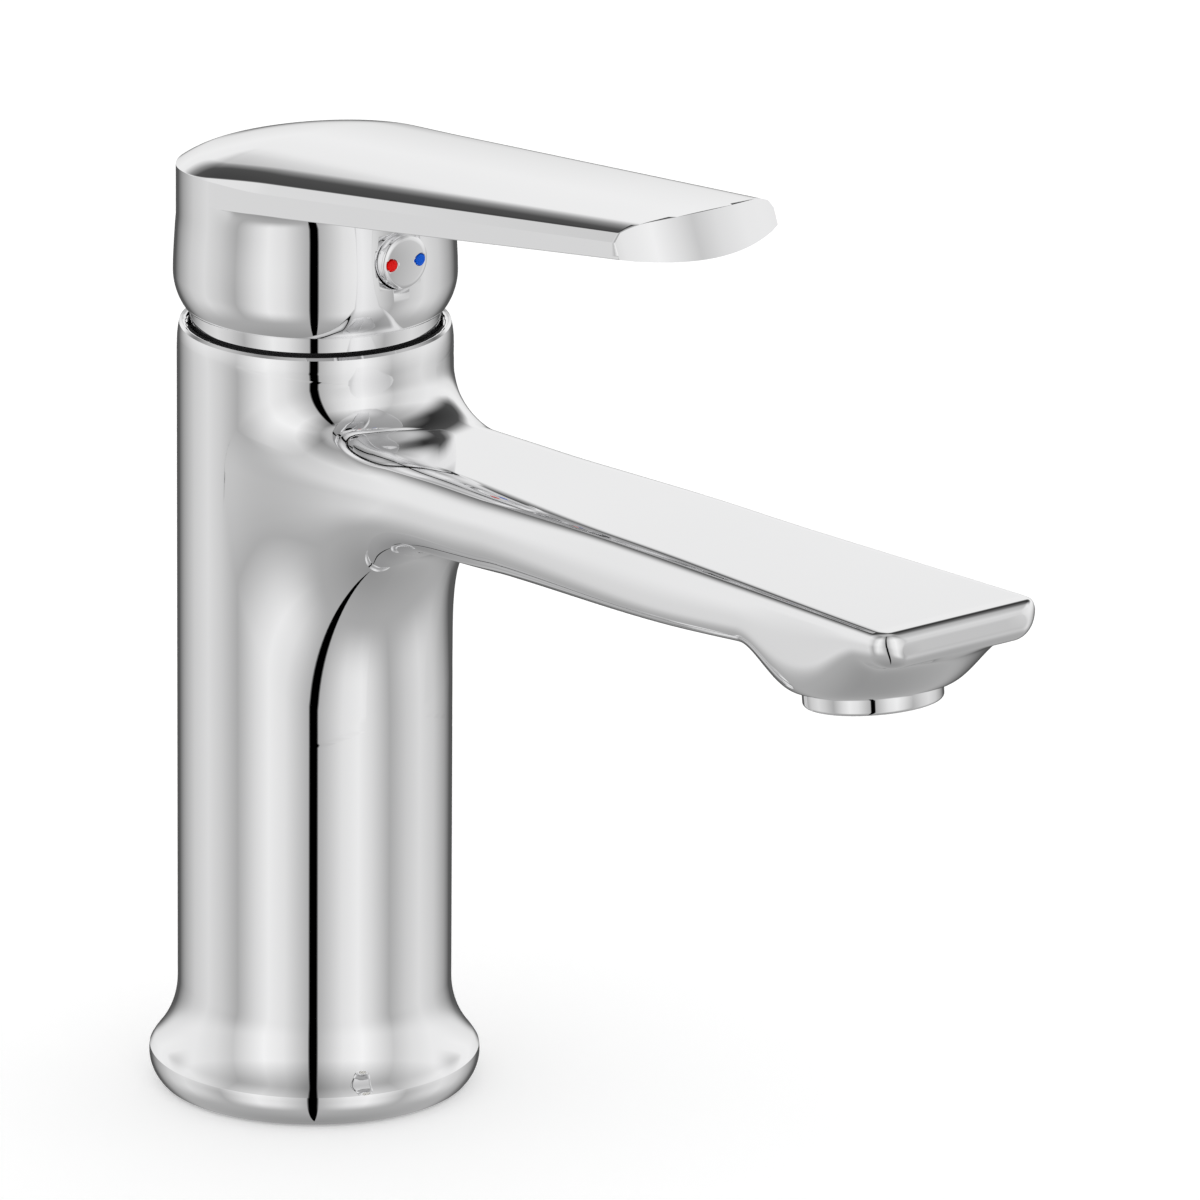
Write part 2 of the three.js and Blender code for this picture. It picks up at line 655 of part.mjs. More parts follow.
function rotor() {
  const outside = turned([
    [0, ROTOR_LOW],
    [ROTOR_R, ROTOR_LOW],
    [ROTOR_R, ROTOR_STEP_Z],
    [ROTOR_NECK_R, ROTOR_STEP_Z],
    [ROTOR_NECK_R, ROTOR_TOP],
    [0, ROTOR_TOP],
  ], MEDIUM);
  const slot = box(-SLOT_X, SLOT_X, -SLOT_Y, SLOT_Y, ROTOR_LOW - CUT, ROTOR_TOP + CUT);
  const hole = pinAlongX(PIN_R + GAP, ROTOR_R + CUT);
  return outside.subtract(slot).subtract(hole);
}

function pinAlongX(r, half) {
  const bar = new THREE.CylinderGeometry(r, r, 2 * half, SMALL).rotateZ(Math.PI / 2);
  return toSolid(bar.translate(0, 0, PIN_Z));
}

function stem() {
  const shoulder = -STEM_ARM + BALL_R + STEM_NECK;
  const shank = box(-STEM_HALF, STEM_HALF, -STEM_HALF, STEM_HALF, shoulder, STEM_UP);
  const link = rod(STEM_NECK_R, -STEM_ARM, shoulder + GAP, SMALL);
  const ball = toSolid(new THREE.SphereGeometry(BALL_R, SMALL, SMALL / 2).translate(0, 0, -STEM_ARM));
  return atStem(shank.add(link).add(ball)).subtract(pinAlongX(PIN_R + GAP, ROTOR_R));
}

function cartridgeNut() {
  let solid = tube(NUT_IN_R, NUT_R, HOUSING_TOP + GAP, NUT_TOP, MEDIUM);
  for (let i = 0; i < NUT_NOTCHES; i++) {
    const notch = box(NUT_IN_R - CUT, NUT_IN_R + NUT_NOTCH / 2, -NUT_NOTCH / 2, NUT_NOTCH / 2,
      NUT_TOP - NUT_NOTCH, NUT_TOP + CUT);
    solid = solid.subtract(notch.rotate([0, 0, (360 * i) / NUT_NOTCHES]));
  }
  return solid;
}

function trimRing() {
  return turned([
    [RING_SKIRT_IN, RING_BORE_Z + GAP],
    [RING_R, RING_BORE_Z + GAP],
    [RING_R, RING_GROOVE_Z],
    [RING_NECK_R, RING_GROOVE_Z],
    [RING_NECK_R, RING_NECK_TOP],
    [RING_R, RING_NECK_TOP],
    [RING_R, RING_TOP - RING_EDGE],
    [RING_R - RING_EDGE, RING_TOP],
    [RING_IN_R, RING_TOP],
    [RING_IN_R, RING_PLATE_Z],
    [RING_SKIRT_IN, RING_PLATE_Z],
  ], FINE);
}

// ---- Handle ----
function cupOutside() {
  // The lower edge rounds in on an arc that leaves the wall upright.
  const reach = CUP_R - CUP_LOW_R;
  const rise = CUP_ROUND_TOP - CUP_LOW;
  const r = (reach * reach + rise * rise) / (2 * reach);
  const start = -THREE.MathUtils.radToDeg(Math.asin(rise / r));
  const wall = BLADE_R - GAP / 2;
  return turned([
    [0, CUP_LOW],
    ...arc(CUP_R - r, CUP_ROUND_TOP, r, start, 0, 7),
    [wall, CUP_TOP],
    [0, CUP_TOP],
  ], FINE);
}

// The uncut blade's outline from above. Each point has the point on the ridge that it is drawn in towards.
function bladeOutline() {
  // Straight sides leave the cup where they are tangent to it and run past the tip.
  const tip = new THREE.Vector2(BLADE_TIP_W, BLADE_TIP_Y);
  const away = Math.acos(BLADE_R / tip.length());
  const tangent = tip.angle() + away - 2 * Math.PI;
  const root = new THREE.Vector2(BLADE_R * Math.cos(tangent), BLADE_R * Math.sin(tangent));
  const right = [];
  for (const share of [0, 0.5]) right.push({ x: BLADE_TIP_W * share, y: BLANK_Y, ridge: RIDGE_END });
  const end = root.clone().lerp(tip, (BLANK_Y - root.y) / (tip.y - root.y));
  const sides = 12;
  for (let i = 0; i <= sides; i++) {
    const p = end.clone().lerp(root, i / sides);
    right.push({ x: p.x, y: p.y, ridge: Math.max(p.y, RIDGE_END) });
  }
  const back = 14;
  for (let i = 1; i <= back; i++) {
    const angle = lerp(tangent, Math.PI / 2, i / back);
    right.push({ x: BLADE_R * Math.cos(angle), y: BLADE_R * Math.sin(angle), ridge: 0 });
  }
  const left = right.slice(1, -1).reverse().map((p) => ({ ...p, x: -p.x }));
  return [...right, ...left];
}

function bladeTop(y, share) {
  const along = THREE.MathUtils.clamp(y / BLADE_TIP_Y, 0, 1);
  return BLADE_TOP_Z - BLADE_TOP_SLOPE * y - lerp(CROWN_CUP, CROWN_TIP, along) * share * share;
}

function bladeLow(x, y) {
  const along = Math.max(0, y / BLADE_TIP_Y);
  return BLADE_LOW_Z - BLADE_LOW_SLOPE * y + BLADE_BELLY * along ** 2 * (x / BLADE_TIP_W) ** 2;
}

// One ring of the blade. `inset` draws the outline in, or `share` scales it about the ridge. `fall` is taken
// from the crowned top, and `above` is measured from the underside instead.
function bladeRing(outline, { inset = () => 0, share = null, fall = () => 0, above = null }) {
  return outline.map((p) => {
    const facet = 1 - THREE.MathUtils.smoothstep(p.y, FACET_FULL_Y, FACET_NONE_Y);
    const k = share ?? 1 - inset(facet) / Math.hypot(p.x, p.y - p.ridge);
    const x = p.x * k;
    const y = p.ridge + (p.y - p.ridge) * k;
    const z = above === null ? bladeTop(y, k) - fall(facet) : bladeLow(x, y) + above;
    return new THREE.Vector3(x, y, z);
  });
}

function bladeBlank() {
  const outline = bladeOutline();
  const levels = [0, 0.3, 0.6].map((share) => ({ share }));
  for (const s of [0, 0.35, 0.7, 1]) {
    levels.push({
      inset: (facet) => FACET_ACROSS * facet + ROLL_ACROSS * (1 - s),
      fall: () => ROLL_FALL * s * s,
    });
  }
  levels.push({ fall: (facet) => ROLL_FALL + FACET_FALL * Math.max(facet, 0.02) });
  levels.push({ above: BLADE_LOW_EDGE });
  levels.push({ inset: () => BLADE_LOW_EDGE, above: 0 });
  levels.push({ share: 0.5, above: 0 });
  levels.push({ share: 0, above: 0 });
  return skinned(levels.map((level) => bladeRing(outline, level)).reverse());
}

// The space ahead of the blade's bowed tip face, which leans back at its top.
function tipCutter() {
  const [[lowY, lowZ], [topY, topZ]] = [FACE_LOW, FACE_TOP];
  const lean = (topY - lowY) / (topZ - lowZ);
  const wide = BLADE_TIP_W + BLADE_LOW_EDGE * 4;
  const front = BLANK_Y - 2 * CUT;
  const steps = 16;
  const ring = (z) => {
    const points = [];
    for (let i = 0; i <= steps; i++) {
      const x = lerp(-wide, wide, i / steps);
      const y = lowY + lean * (z - lowZ) + FACE_BOW * (x / BLADE_TIP_W) ** 2;
      points.push(new THREE.Vector3(x, y, z));
    }
    points.push(new THREE.Vector3(wide, front, z), new THREE.Vector3(-wide, front, z));
    return points.reverse();
  };
  return skinned([ring(lowZ - BLADE_BELLY * 2), ring(topZ + BLADE_BELLY * 2)]);
}

function blade() {
  return bladeBlank().subtract(tipCutter());
}

function cupInside() {
  return turned([
    [0, CUP_LOW - CUT],
    [CUP_IN_R, CUP_LOW - CUT],
    [CUP_IN_R, CUP_CEILING - CUP_CEILING_CORNER],
    [CUP_CEILING_R, CUP_CEILING],
    [0, CUP_CROWN],
  ], MEDIUM);
}

function handle() {
  const outside = cupOutside().add(blade());
  const boss = atStem(box(-SOCKET_HALF, SOCKET_HALF, -SOCKET_HALF, SOCKET_HALF, SOCKET_LOW, SOCKET_TOP));
  const hollow = STEM_HALF + GAP;
  const socket = atStem(box(-hollow, hollow, -hollow, hollow, SOCKET_LOW - CUT, STEM_UP + GAP));
  const screwHole = rodAlongY(SCREW_HOLE_R, -CUP_R, stemFront(), SMALL);
  const plugHole = rodAlongY(PLUG_HOLE_R, -CUP_R - 2 * CUT, PLUG_BACK_Y, SMALL);
  return outside
    .subtract(cupInside())
    .add(boss)
    .subtract(socket)
    .subtract(screwHole.translate([0, 0, PLUG_Z]))
    .subtract(plugHole.translate([0, 0, PLUG_Z]));
}

// Where the stem's front face stands at the set screw's height.
function stemFront() {
  const up = PLUG_Z - PIN_Z;
  return -up * Math.tan(STEM_TILT) - STEM_HALF / Math.cos(STEM_TILT);
}

function setScrew() {
  const tip = stemFront() - GAP - SCREW_R * Math.tan(STEM_TILT);
  const head = tip - SCREW_LENGTH;
  const bar = rodAlongY(SCREW_R, head, tip, SMALL);
  const hex = rodAlongY(SCREW_HEX_R, head - CUT, head + SCREW_HEX_DEEP, 6);
  return bar.subtract(hex).translate([0, 0, PLUG_Z]);
}

// A dot's disc, sunk into the plug's face.
function dot(x) {
  return rodAlongY(DOT_R, PLUG_FACE_Y - DOT_PROUD, PLUG_FACE_Y + DOT_DEEP, SMALL).translate([x, 0, PLUG_Z]);
}

function indexPlug() {
  const shoulder = PLUG_FACE_Y + PLUG_DOME;
  const head = turned([
    [0, -PLUG_BACK_Y],
    [PLUG_R, -PLUG_BACK_Y],
    [PLUG_R, -shoulder],
    [PLUG_R - PLUG_DOME, -PLUG_FACE_Y],
    [0, -PLUG_FACE_Y],
  ], SMALL).rotate([90, 0, 0]).translate([0, 0, PLUG_Z]);
  let solid = head;
  for (const x of [-DOT_X, DOT_X]) {
    const pocket = rodAlongY(DOT_R + GAP / 3, PLUG_FACE_Y - CUT, PLUG_FACE_Y + DOT_DEEP + GAP, SMALL);
    solid = solid.subtract(pocket.translate([x, 0, PLUG_Z]));
  }
  return solid;
}

// ---- Aerator ----
function aeratorHousing() {
  return atOutlet(turned([
    [AERATOR_LIP_R, 0],
    [COLLAR_R - COLLAR_EDGE, 0],
    [COLLAR_R, COLLAR_EDGE],
    [COLLAR_R, COLLAR_TOP],
    [AERATOR_THREAD_R, COLLAR_TOP],
    [AERATOR_THREAD_R, AERATOR_TOP],
    [AERATOR_IN_R, AERATOR_TOP],
    [AERATOR_IN_R, AERATOR_LIP_TOP],
    [AERATOR_LIP_R, AERATOR_LIP_TOP],
  ], MEDIUM));
}

function aeratorInsert() {
  const r = AERATOR_IN_R - GAP;
  let solid = rod(r, INSERT_LOW, INSERT_TOP, MEDIUM);
  const pitch = INSERT_CELL + INSERT_WALL;
  const half = INSERT_CELL / 2;
  const cell = box(-half, half, -half, half, INSERT_LOW - CUT, INSERT_TOP + CUT);
  for (let i = -3; i <= 3; i++)
    for (let j = -3; j <= 3; j++) {
      const reach = Math.hypot(Math.abs(i) * pitch + half, Math.abs(j) * pitch + half);
      if (reach < r - INSERT_WALL) solid = solid.subtract(cell.translate([i * pitch, j * pitch, 0]));
    }
  return atOutlet(solid);
}

function aeratorScreen() {
  let solid = rod(AERATOR_IN_R - GAP, SCREEN_LOW, SCREEN_TOP, MEDIUM);
  const hole = rod(SCREEN_HOLE_R, SCREEN_LOW - CUT, SCREEN_TOP + CUT, 6);
  for (const ring of [1, 2]) {
    const r = ring * SCREEN_PITCH;
    const count = 6 * ring;
    for (let i = 0; i < count; i++) {
      const angle = (2 * Math.PI * i) / count;
      solid = solid.subtract(hole.translate([r * Math.cos(angle), r * Math.sin(angle), 0]));
    }
  }
  return atOutlet(solid);
}

function aeratorWasher() {
  return atOutlet(tube(WASHER_IN, AERATOR_BORE_R - GAP, AERATOR_TOP + GAP, AERATOR_BORE_TOP - GAP, MEDIUM));
}

add("body", body(), CHROME);
add("base_gasket", baseGasket(), RUBBER);
add("cartridge_base", cartridgeBase(), GREY_PLASTIC);
add("port_seal_hot", portSeal(-INLET_X), RUBBER);
add("port_seal_cold", portSeal(INLET_X), RUBBER);
add("fixed_disc", fixedDisc(), CERAMIC);
add("moving_disc", movingDisc(), CERAMIC);
add("disc_carrier", discCarrier(), WHITE_PLASTIC);
add("cartridge_housing", cartridgeHousing(), WHITE_PLASTIC);
add("housing_oring", housingOring(), RUBBER);
add("rotor", rotor(), GREY_PLASTIC);
add("pivot_pin", pinAlongX(PIN_R, PIN_HALF), STEEL);
add("stem", stem(), BRASS);
add("cartridge_nut", cartridgeNut(), BRASS);
add("trim_ring", trimRing(), CHROME);
add("handle", handle(), CHROME);
add("set_screw", setScrew(), STEEL);
add("index_plug", indexPlug(), CHROME);
add("red_dot", dot(-DOT_X), RED);
add("blue_dot", dot(DOT_X), BLUE);
add("aerator_housing", aeratorHousing(), CHROME);
add("aerator_insert", aeratorInsert(), WHITE_PLASTIC);
add("aerator_screen", aeratorScreen(), STEEL);
add("aerator_washer", aeratorWasher(), RUBBER);

export default group;
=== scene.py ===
"""Bathroom mixer faucet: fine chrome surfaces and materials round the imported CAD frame.

The chrome pieces and the two dots are built again with smooth surfaces, and each takes the place of its
CAD solid. The other pieces keep their CAD solids and get materials. The studio is a world shader: soft
light that changes with direction, and the dark gaps that chrome shows as lines.
"""

import math

import bmesh
import bpy
import numpy as np
from mathutils import Matrix, Vector


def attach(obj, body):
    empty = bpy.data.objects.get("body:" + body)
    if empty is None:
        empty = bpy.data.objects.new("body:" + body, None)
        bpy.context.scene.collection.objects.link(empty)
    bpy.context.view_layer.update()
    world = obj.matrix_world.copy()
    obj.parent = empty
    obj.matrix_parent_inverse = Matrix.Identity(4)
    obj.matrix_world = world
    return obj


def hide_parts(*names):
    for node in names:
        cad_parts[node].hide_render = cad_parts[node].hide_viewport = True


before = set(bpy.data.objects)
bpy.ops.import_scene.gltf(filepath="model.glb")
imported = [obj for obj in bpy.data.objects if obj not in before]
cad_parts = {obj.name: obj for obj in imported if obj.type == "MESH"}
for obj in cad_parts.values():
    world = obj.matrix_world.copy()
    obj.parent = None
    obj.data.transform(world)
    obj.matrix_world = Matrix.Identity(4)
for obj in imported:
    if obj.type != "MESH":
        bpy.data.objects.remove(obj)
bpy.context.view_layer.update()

MM = 0.001  # every length below is in millimetres, as in the CAD source
WELD = 0.002  # points of neighbouring patches nearer than this are one point
CUT = 1.0  # how far a cutting tool runs past the face it opens
GAP = 0.3
ZERO = 1e-6  # lengths under this count as none
SHARP = 32.0  # degrees: edges that turn more than this are shaded sharp
TOOL_STEPS = 96  # flats round a large and a small turned cutting tool
SMALL_STEPS = 48
EDGE_STEPS = 6  # stretches round a small rounded edge
ALIKE = 0.995  # cosine: a face that points this nearly along its true surface gets that surface's directions

# ---- Column and foot ----
COLUMN_R = 22.5
COLUMN_TOP = 130.0
RIM_R = 22.1
RIM_TAPER = 4.0
RIM_CHAMFER = 0.4
FOOT_WIDEST_R = 27.2
FOOT_BAND_RADIUS = 5.9  # the rounded band under the flare
FOOT_BAND_LOW = -45.0  # the tilts that the band runs between, in degrees
FOOT_BAND_TOP = 10.0
FOOT_CREASE_TILT = 30.0  # the shoulder meets the band at this tilt, in a soft crease
FOOT_CREASE_WIDTH = 0.12  # how near the crease its two support points stand, as a share of a step
FOOT_STEP = 3.0  # the longest step of the straight column's profile
FOOT_BAND_STEPS = 12
SHOULDER_STEPS = 5
FLARE_STEPS = 22
SHOULDER_RADIUS = 12.0
FLARE_RADIUS = 17.0
WINDOW_LOW = 60.0  # the stretch of the column that the spout grows out of
WINDOW_HIGH = 127.5
WINDOW_HALF = 80.0  # degrees either side of the spout
COLUMN_STEP = 2.5  # degrees
RIM_RINGS = 6  # rings from the window's top up to the rim
WINDOW_RINGS = 8  # rings on the column between the window's border and the blend

# ---- Spout ----
ROOT_W = 15.3
TIP_W = 16.2
ROOT_Y = -50.0
TIP_Y = -166.5
TOP_ROOT_Z = 118.3
TOP_TIP_Z = 123.1
LOW_ROOT_Z = 103.0
LOW_BEND_Y = -125.0  # the underside rises faster beyond here
LOW_BEND_Z = 110.4
LOW_BEND_SHARPNESS = 1.2  # per millimetre
LOW_TIP_Z = 117.0
SIDE_LEAN = 22.0  # degrees that the top of the bowed side leans in
TOP_EDGE = 1.5
TOP_EDGE_MIDDLE = 2.5  # the upper edge opens out towards the column
TOP_EDGE_ROOT = 5.6
LOW_EDGE = 4.2
LOW_EDGE_ROOT = 9.0
EDGE_YS = (-160.0, -96.0, -50.0)  # the upper edge's radii belong to these
LOW_EDGE_YS = (-115.0, -52.0)
LOW_EDGE_SHARE = 0.9  # the most of the side's height that the lower edge takes
TIP_LEAN = 0.09  # how far the tip's face leans back per unit of height
TIP_CORNER = 4.0
TIP_TOP_ROLL = 1.6
TIP_LOW_ROLL = 2.4
TIP_FAN_SHARES = (0, 0.3, 0.6)  # rings in the tip's flat face, from its edge to its middle
CORNER_STEPS = 8
LOW_CORNER_STEPS = 12
SIDE_STEPS = 20
STRAIGHT_FROM = -66.0  # sections ahead of here stand square, a step apart, up to the boss
STRAIGHT_STEP = 2.0
BOSS_FROM = -118.0
LEADING_STEPS = 12  # sections from the blend to STRAIGHT_FROM
BOSS_STEPS = 75
TIP_STEPS = 24

# ---- Blend between the spout and the column ----
BLEND_TOP = 8.6  # how far the blend runs up, round and down the column
BLEND_SIDE = 14.0
BLEND_LOW = 34.0
REACH_TOP = 11.0  # how far it runs out along the spout
REACH_SIDE = 27.0
REACH_LOW = 24.0
HUG_COLUMN = 0.72  # shares of those lengths that keep the first direction
HUG_SPOUT = 0.66
BLEND_STEPS = 44

# ---- Outlet and aerator ----
OUTLET_Y = -144.3
OUTLET_Z = 103.8
OUTLET_TILT = math.radians(7.5)
BOSS_LOW = 2.9  # how far the boss's flat face stands above the collar's lower face
BOSS_FLAT_R = 12.0
BOSS_SPREAD_R = 21.8
BORE_R = 10.8
BORE_TOP = 12.3
SEAT_R = 8.2
SEAT_TOP = 15.0
COLLAR_R = 11.1
COLLAR_TOP = 2.6
COLLAR_EDGE = 0.6
THREAD_R = 10.5
AERATOR_TOP = 10.0
AERATOR_IN_R = 8.6
LIP_R = 7.9
LIP_TOP = 1.0
COLLAR_STEPS = 120

# ---- Cuts in the body ----
CHAMBER_R = 18.0
CHAMBER_FLOOR = 88.0
NUT_BORE_R = 19.2
NUT_BORE_Z = 119.0
RING_BORE_R = 20.9
RING_BORE_Z = 125.0
CAVITY_R = 19.0
CAVITY_TOP = 60.0
INLET_X = 7.5
PORT_Y = -3.5
INLET_R = 4.6
INLET_DEPTH = 12.0
RISER_R = 3.2
STUD_Y = 9.5
STUD_R = 3.4
STUD_DEPTH = 15.0
GASKET_IN = 20.6
GASKET_OUT = 23.4
GASKET_GROOVE = 2.4

# ---- Trim ring ----
RING_R = 20.4
RING_IN_R = 14.0
RING_SKIRT_IN = 19.3
RING_PLATE_Z = 130.3
RING_TOP = 133.4
RING_EDGE = 0.4
RING_NECK_R = 19.8  # the shadow gap under the ring's shoulder
RING_NECK_TOP = 130.45
RING_GROOVE_Z = 128.5
RING_STEPS = 180

# ---- Handle ----
CUP_R = 23.1
BLADE_R = 22.6
CUP_LOW = 133.0
CUP_LOW_R = 21.4
CUP_IN_R = 21.0
CUP_ROUND_TOP = 138.5
CUP_CEILING = 149.5
CUP_CEILING_R = 16.0
CUP_CROWN = 151.5
BLADE_TIP_Y = -101.0
BLADE_TIP_W = 15.7
BLADE_TOP_Z = 161.6
BLADE_TOP_SLOPE = 0.112
BLADE_LOW_Z = 152.9
BLADE_LOW_SLOPE = 0.1265
BLADE_BELLY = 1.8  # the underside's edges stand this much above its middle at the tip
CROWN_CUP = 3.1
CROWN_TIP = 0.6
BLANK_Y = -112.0  # the blade is made this long and its tip face is cut
BLANK_CORNER = 1.8
BLANK_STEPS = (16, 8, 70, 60)  # steps along its end, corner and side, and round its back
RIDGE_END = -104.0  # the crown's ridge runs from the column's axis to here
CROWN_SHARE = 0.64  # how far out from the ridge the crown's even rings reach
CROWN_RINGS = 14
FACE_LOW = (-104.5, 166.1)  # y and z of the tip face's lower and upper edge in the middle
FACE_TOP = (-101.9, 171.8)
FACE_BOW = 4.2  # how far the tip face curves back at the blade's sides
FACE_NEAR = 0.05  # a point nearer to the face than this lies on it
CUTTER_WIDTH = 1.4  # the tip cutter's half width, in half widths of the tip
CUTTER_RISE = 10.0  # how far it runs above and below the face
CUTTER_POINTS = 49
ROLL_ACROSS = 4.35  # the rolled upper edge
ROLL_FALL = 0.75
ROLL_RINGS = 11
FACET_ACROSS = 1.1  # the narrow facet under the roll, which fades out over the cup
FACET_FALL = 1.3
FACET_FULL_Y = -15.0
FACET_NONE_Y = 7.0
FACET_SHARES = (0.05, 0.5, 0.95, 1)  # rings down the facet
SIDE_SHARES = (0.98, 0.75, 0.5, 0.25, 0.02, 0)  # rings down the blade's side, as shares of its height
BLADE_LOW_EDGE = 0.5
LOW_EDGE_GAP = 0.3  # the most of the space between blade and cup that the lower edge takes
NECK_FILLET = 3.3  # between the blade's underside and the cup's wall
NECK_GAP = 0.6  # the most of that space that the fillet takes
LOW_EDGE_STEPS = 5
UNDER_STEPS = 10
NECK_STEPS = 9
WALL_STEPS = 6
CUP_LOW_STEPS = 14
WALL_CLOSE = 1.0  # the underside isn't settled again where the cup's wall is nearer than this
CUP_TAPER = 12.0
CUP_CEILING_CORNER = 4.0
CUP_MIDDLE_R = 0.4
PARTNER_POWER = 1.6  # crowds the blade's partners on the cup's wall towards the front

# ---- Plug and dots ----
PLUG_Z = 145.4
PLUG_R = 4.55
PLUG_HOLE_R = 4.85
PLUG_FACE_Y = -24.3
PLUG_BACK_Y = -19.5
PLUG_DOME = 0.5  # the rounded rim of the plug's face
PLUG_RISE = 0.25  # how far the face crowns above it
PLUG_RIM_END = 80  # degrees
PLUG_RINGS = 10
DOT_X = 2.8
DOT_R = 0.95
DOT_DEEP = 0.5
DOT_PROUD = 0.08
DOT_POCKET_R = 1.05
DOT_EDGE = 0.15
DOT_EDGE_STEPS = 4

# ---- Camera: millimetres and degrees ----
CAMERA_TARGET = (36.55, -28.74, 82.18)
CAMERA_AZIMUTH = math.radians(-38.18)
CAMERA_ELEVATION = math.radians(18.408)
CAMERA_ROLL = math.radians(0.428)
CAMERA_DISTANCE = 2500.0
CAMERA_LENS = 459.7
CAMERA_SENSOR = 36.0
CAMERA_CLIP = (0.1, 20.0)  # metres

# ---- Studio: the soft surround, as radiance by direction ----
SIDE_RAMP = (  # round the horizon by degrees from the camera's side, as seen in upright walls
    (0.0, 0.0), (3.3, 0.0), (4.0, 0.46), (10.0, 0.56), (24.0, 0.8), (38.0, 0.9), (50.0, 0.74), (67.0, 0.44),
    (84.0, 0.64), (100.0, 0.76), (120.0, 0.64), (140.0, 0.38), (156.0, 0.1), (180.0, 0.08))
UPPER_RAMP = (  # the same above the horizon
    (0.0, 0.0), (3.3, 0.0), (4.0, 0.48), (10.0, 0.6), (24.0, 0.86), (40.0, 0.97), (52.0, 0.82), (67.0, 0.62),
    (84.0, 0.78), (104.0, 0.88), (180.0, 0.9))
UPPER_FROM = -16.0  # degrees of elevation over which SIDE_RAMP gives way to UPPER_RAMP
UPPER_FULL = 2.0
HIGH_RAMP = (  # by degrees of elevation: the strength of UPPER_RAMP
    (-90.0, 1.0), (26.0, 1.0), (44.0, 0.66), (60.0, 0.42), (90.0, 0.4))
GROUND_RAMP = ((-90.0, 0.3), (-72.0, 0.34), (-50.0, 0.42), (90.0, 0.42))  # the soft light from below
GROUND_FULL = -50.0
GROUND_FROM = -24.0
BACK_RAMP = (  # by degrees of elevation: the lit back wall, the dark gap over it and the box overhead
    (-90.0, 0.4), (-30.0, 0.42), (-4.0, 0.8), (8.0, 0.92), (14.5, 0.9), (18.0, 0.62), (22.0, 0.3),
    (27.0, 0.08), (44.0, 0.03), (54.0, 0.16), (66.0, 0.42), (90.0, 0.5))
BACK_FROM = 104.0  # degrees from the camera's side over which the front gives way to the back
BACK_FULL = 140.0
LOW_FROM = -12.0  # degrees of elevation over which SIDE_RAMP gives way to BACK_RAMP behind
LOW_FULL = -2.0
STRIPE = (3.3, 4.2)  # half the black gap between the front boxes, in degrees, and where its soft edge ends
STRIPE_TOP = 74.0  # degrees of elevation at which the gap ends
STRIPE_FADE = 15.0
OVERHEAD = 0.5
DIFFUSE_RADIANCE = 1.0
RAMP_SCALE = 1.5  # a ramp holds 0 to 1, so levels are kept divided by this
FLOOR_SIDE = 6.0  # metres
FLOOR_DROP = 0.0004
FLOOR_GLOW = 0.2
FLOOR_DARK = (0.93, 0.93, 0.93)
FLOOR_LIGHT = (0.96, 0.96, 0.96)
FLOOR_ROUGHNESS = 0.9


# ---- Small helpers ----
def lerp(a, b, share):
    return a + (b - a) * share


def smooth(value, low, high):
    share = np.clip((value - low) / (high - low), 0, 1)
    return share * share * (3 - 2 * share)


def shares(count):
    """Even steps from 0 to 1, without the 0."""
    return np.linspace(0, 1, count + 1)[1:]


def quarter(count):
    """Even angles over a quarter turn, without the 0."""
    return np.radians(np.linspace(0, 90, count + 1)[1:])


def arc(r, z, radius, start, end, steps):
    """Points of the round stretch about [r, z] from one angle to another, in degrees."""
    turn = np.radians(np.linspace(start, end, steps + 1))
    return [(r + radius * math.cos(t), z + radius * math.sin(t)) for t in turn]


def divided(points, step):
    """The same outline with no stretch longer than step."""
    out = [points[0]]
    for a, b in zip(points, points[1:]):
        count = max(1, math.ceil(math.dist(a, b) / step))
        out += [tuple(lerp(np.array(a), np.array(b), i / count)) for i in range(1, count + 1)]
    return out


def ring_points(r, turn, z):
    """Points at one radius and height, round by turn in radians from +X."""
    return np.stack([r * np.cos(turn), r * np.sin(turn), np.full(len(turn), float(z))], 1)


def patch(rows, wrap):
    """Points and quads of a grid of rows of points. wrap closes each row on itself."""
    rows = np.asarray(rows, float)
    count, width = rows.shape[:2]
    quads = []
    for j in range(count - 1):
        for i in range(width if wrap else width - 1):
            a, b = j * width + i, j * width + (i + 1) % width
            quads.append((a, b, b + width, a + width))
    return rows.reshape(-1, 3), quads


def fan(ring, centre, outward):
    """Triangles from a ring to one point; outward says which way the ring runs round."""
    ring = np.asarray(ring, float)
    count = len(ring)
    order = range(count) if outward else range(count - 1, -1, -1)
    tris = [(count, i, (i + 1) % count) if outward else (count, (i + 1) % count, i) for i in order]
    return np.vstack([ring, centre]), tris


def new_object(name, patches):
    """One mesh object, in metres, from patches whose borders share their points."""
    bm = bmesh.new()
    for points, faces in patches:
        verts = [bm.verts.new(Vector(p) * MM) for p in points]
        for face in faces:
            bm.faces.new([verts[i] for i in face])
    bmesh.ops.remove_doubles(bm, verts=bm.verts, dist=WELD * MM)
    bmesh.ops.dissolve_degenerate(bm, edges=bm.edges, dist=WELD * MM)
    bmesh.ops.recalc_face_normals(bm, faces=bm.faces)
    mesh = bpy.data.meshes.new(name)
    bm.to_mesh(mesh)
    bm.free()
    mesh.shade_smooth()
    mesh.set_sharp_from_angle(angle=math.radians(SHARP))
    made = bpy.data.objects.new(name, mesh)
    bpy.context.scene.collection.objects.link(made)
    return made


def turned(name, profile, steps, place=None):
    """A turned object about Z from an open or closed profile of (r, z), which place may move."""
    turn = np.linspace(0, 2 * math.pi, steps, endpoint=False)
    made = new_object(name, [patch([ring_points(r, turn, z) for r, z in profile], True)])
    if place is not None:
        made.data.transform(place)
        made.data.update()
    return made


def closed(profile):
    return [*profile, profile[0]]


def rod(name, r, low, high, x=0.0, y=0.0):
    """A plain cutting rod along Z."""
    outline = [(0, low), (r, low), (r, high), (0, high)]
    return turned(name, outline, SMALL_STEPS, Matrix.Translation((x * MM, y * MM, 0)))


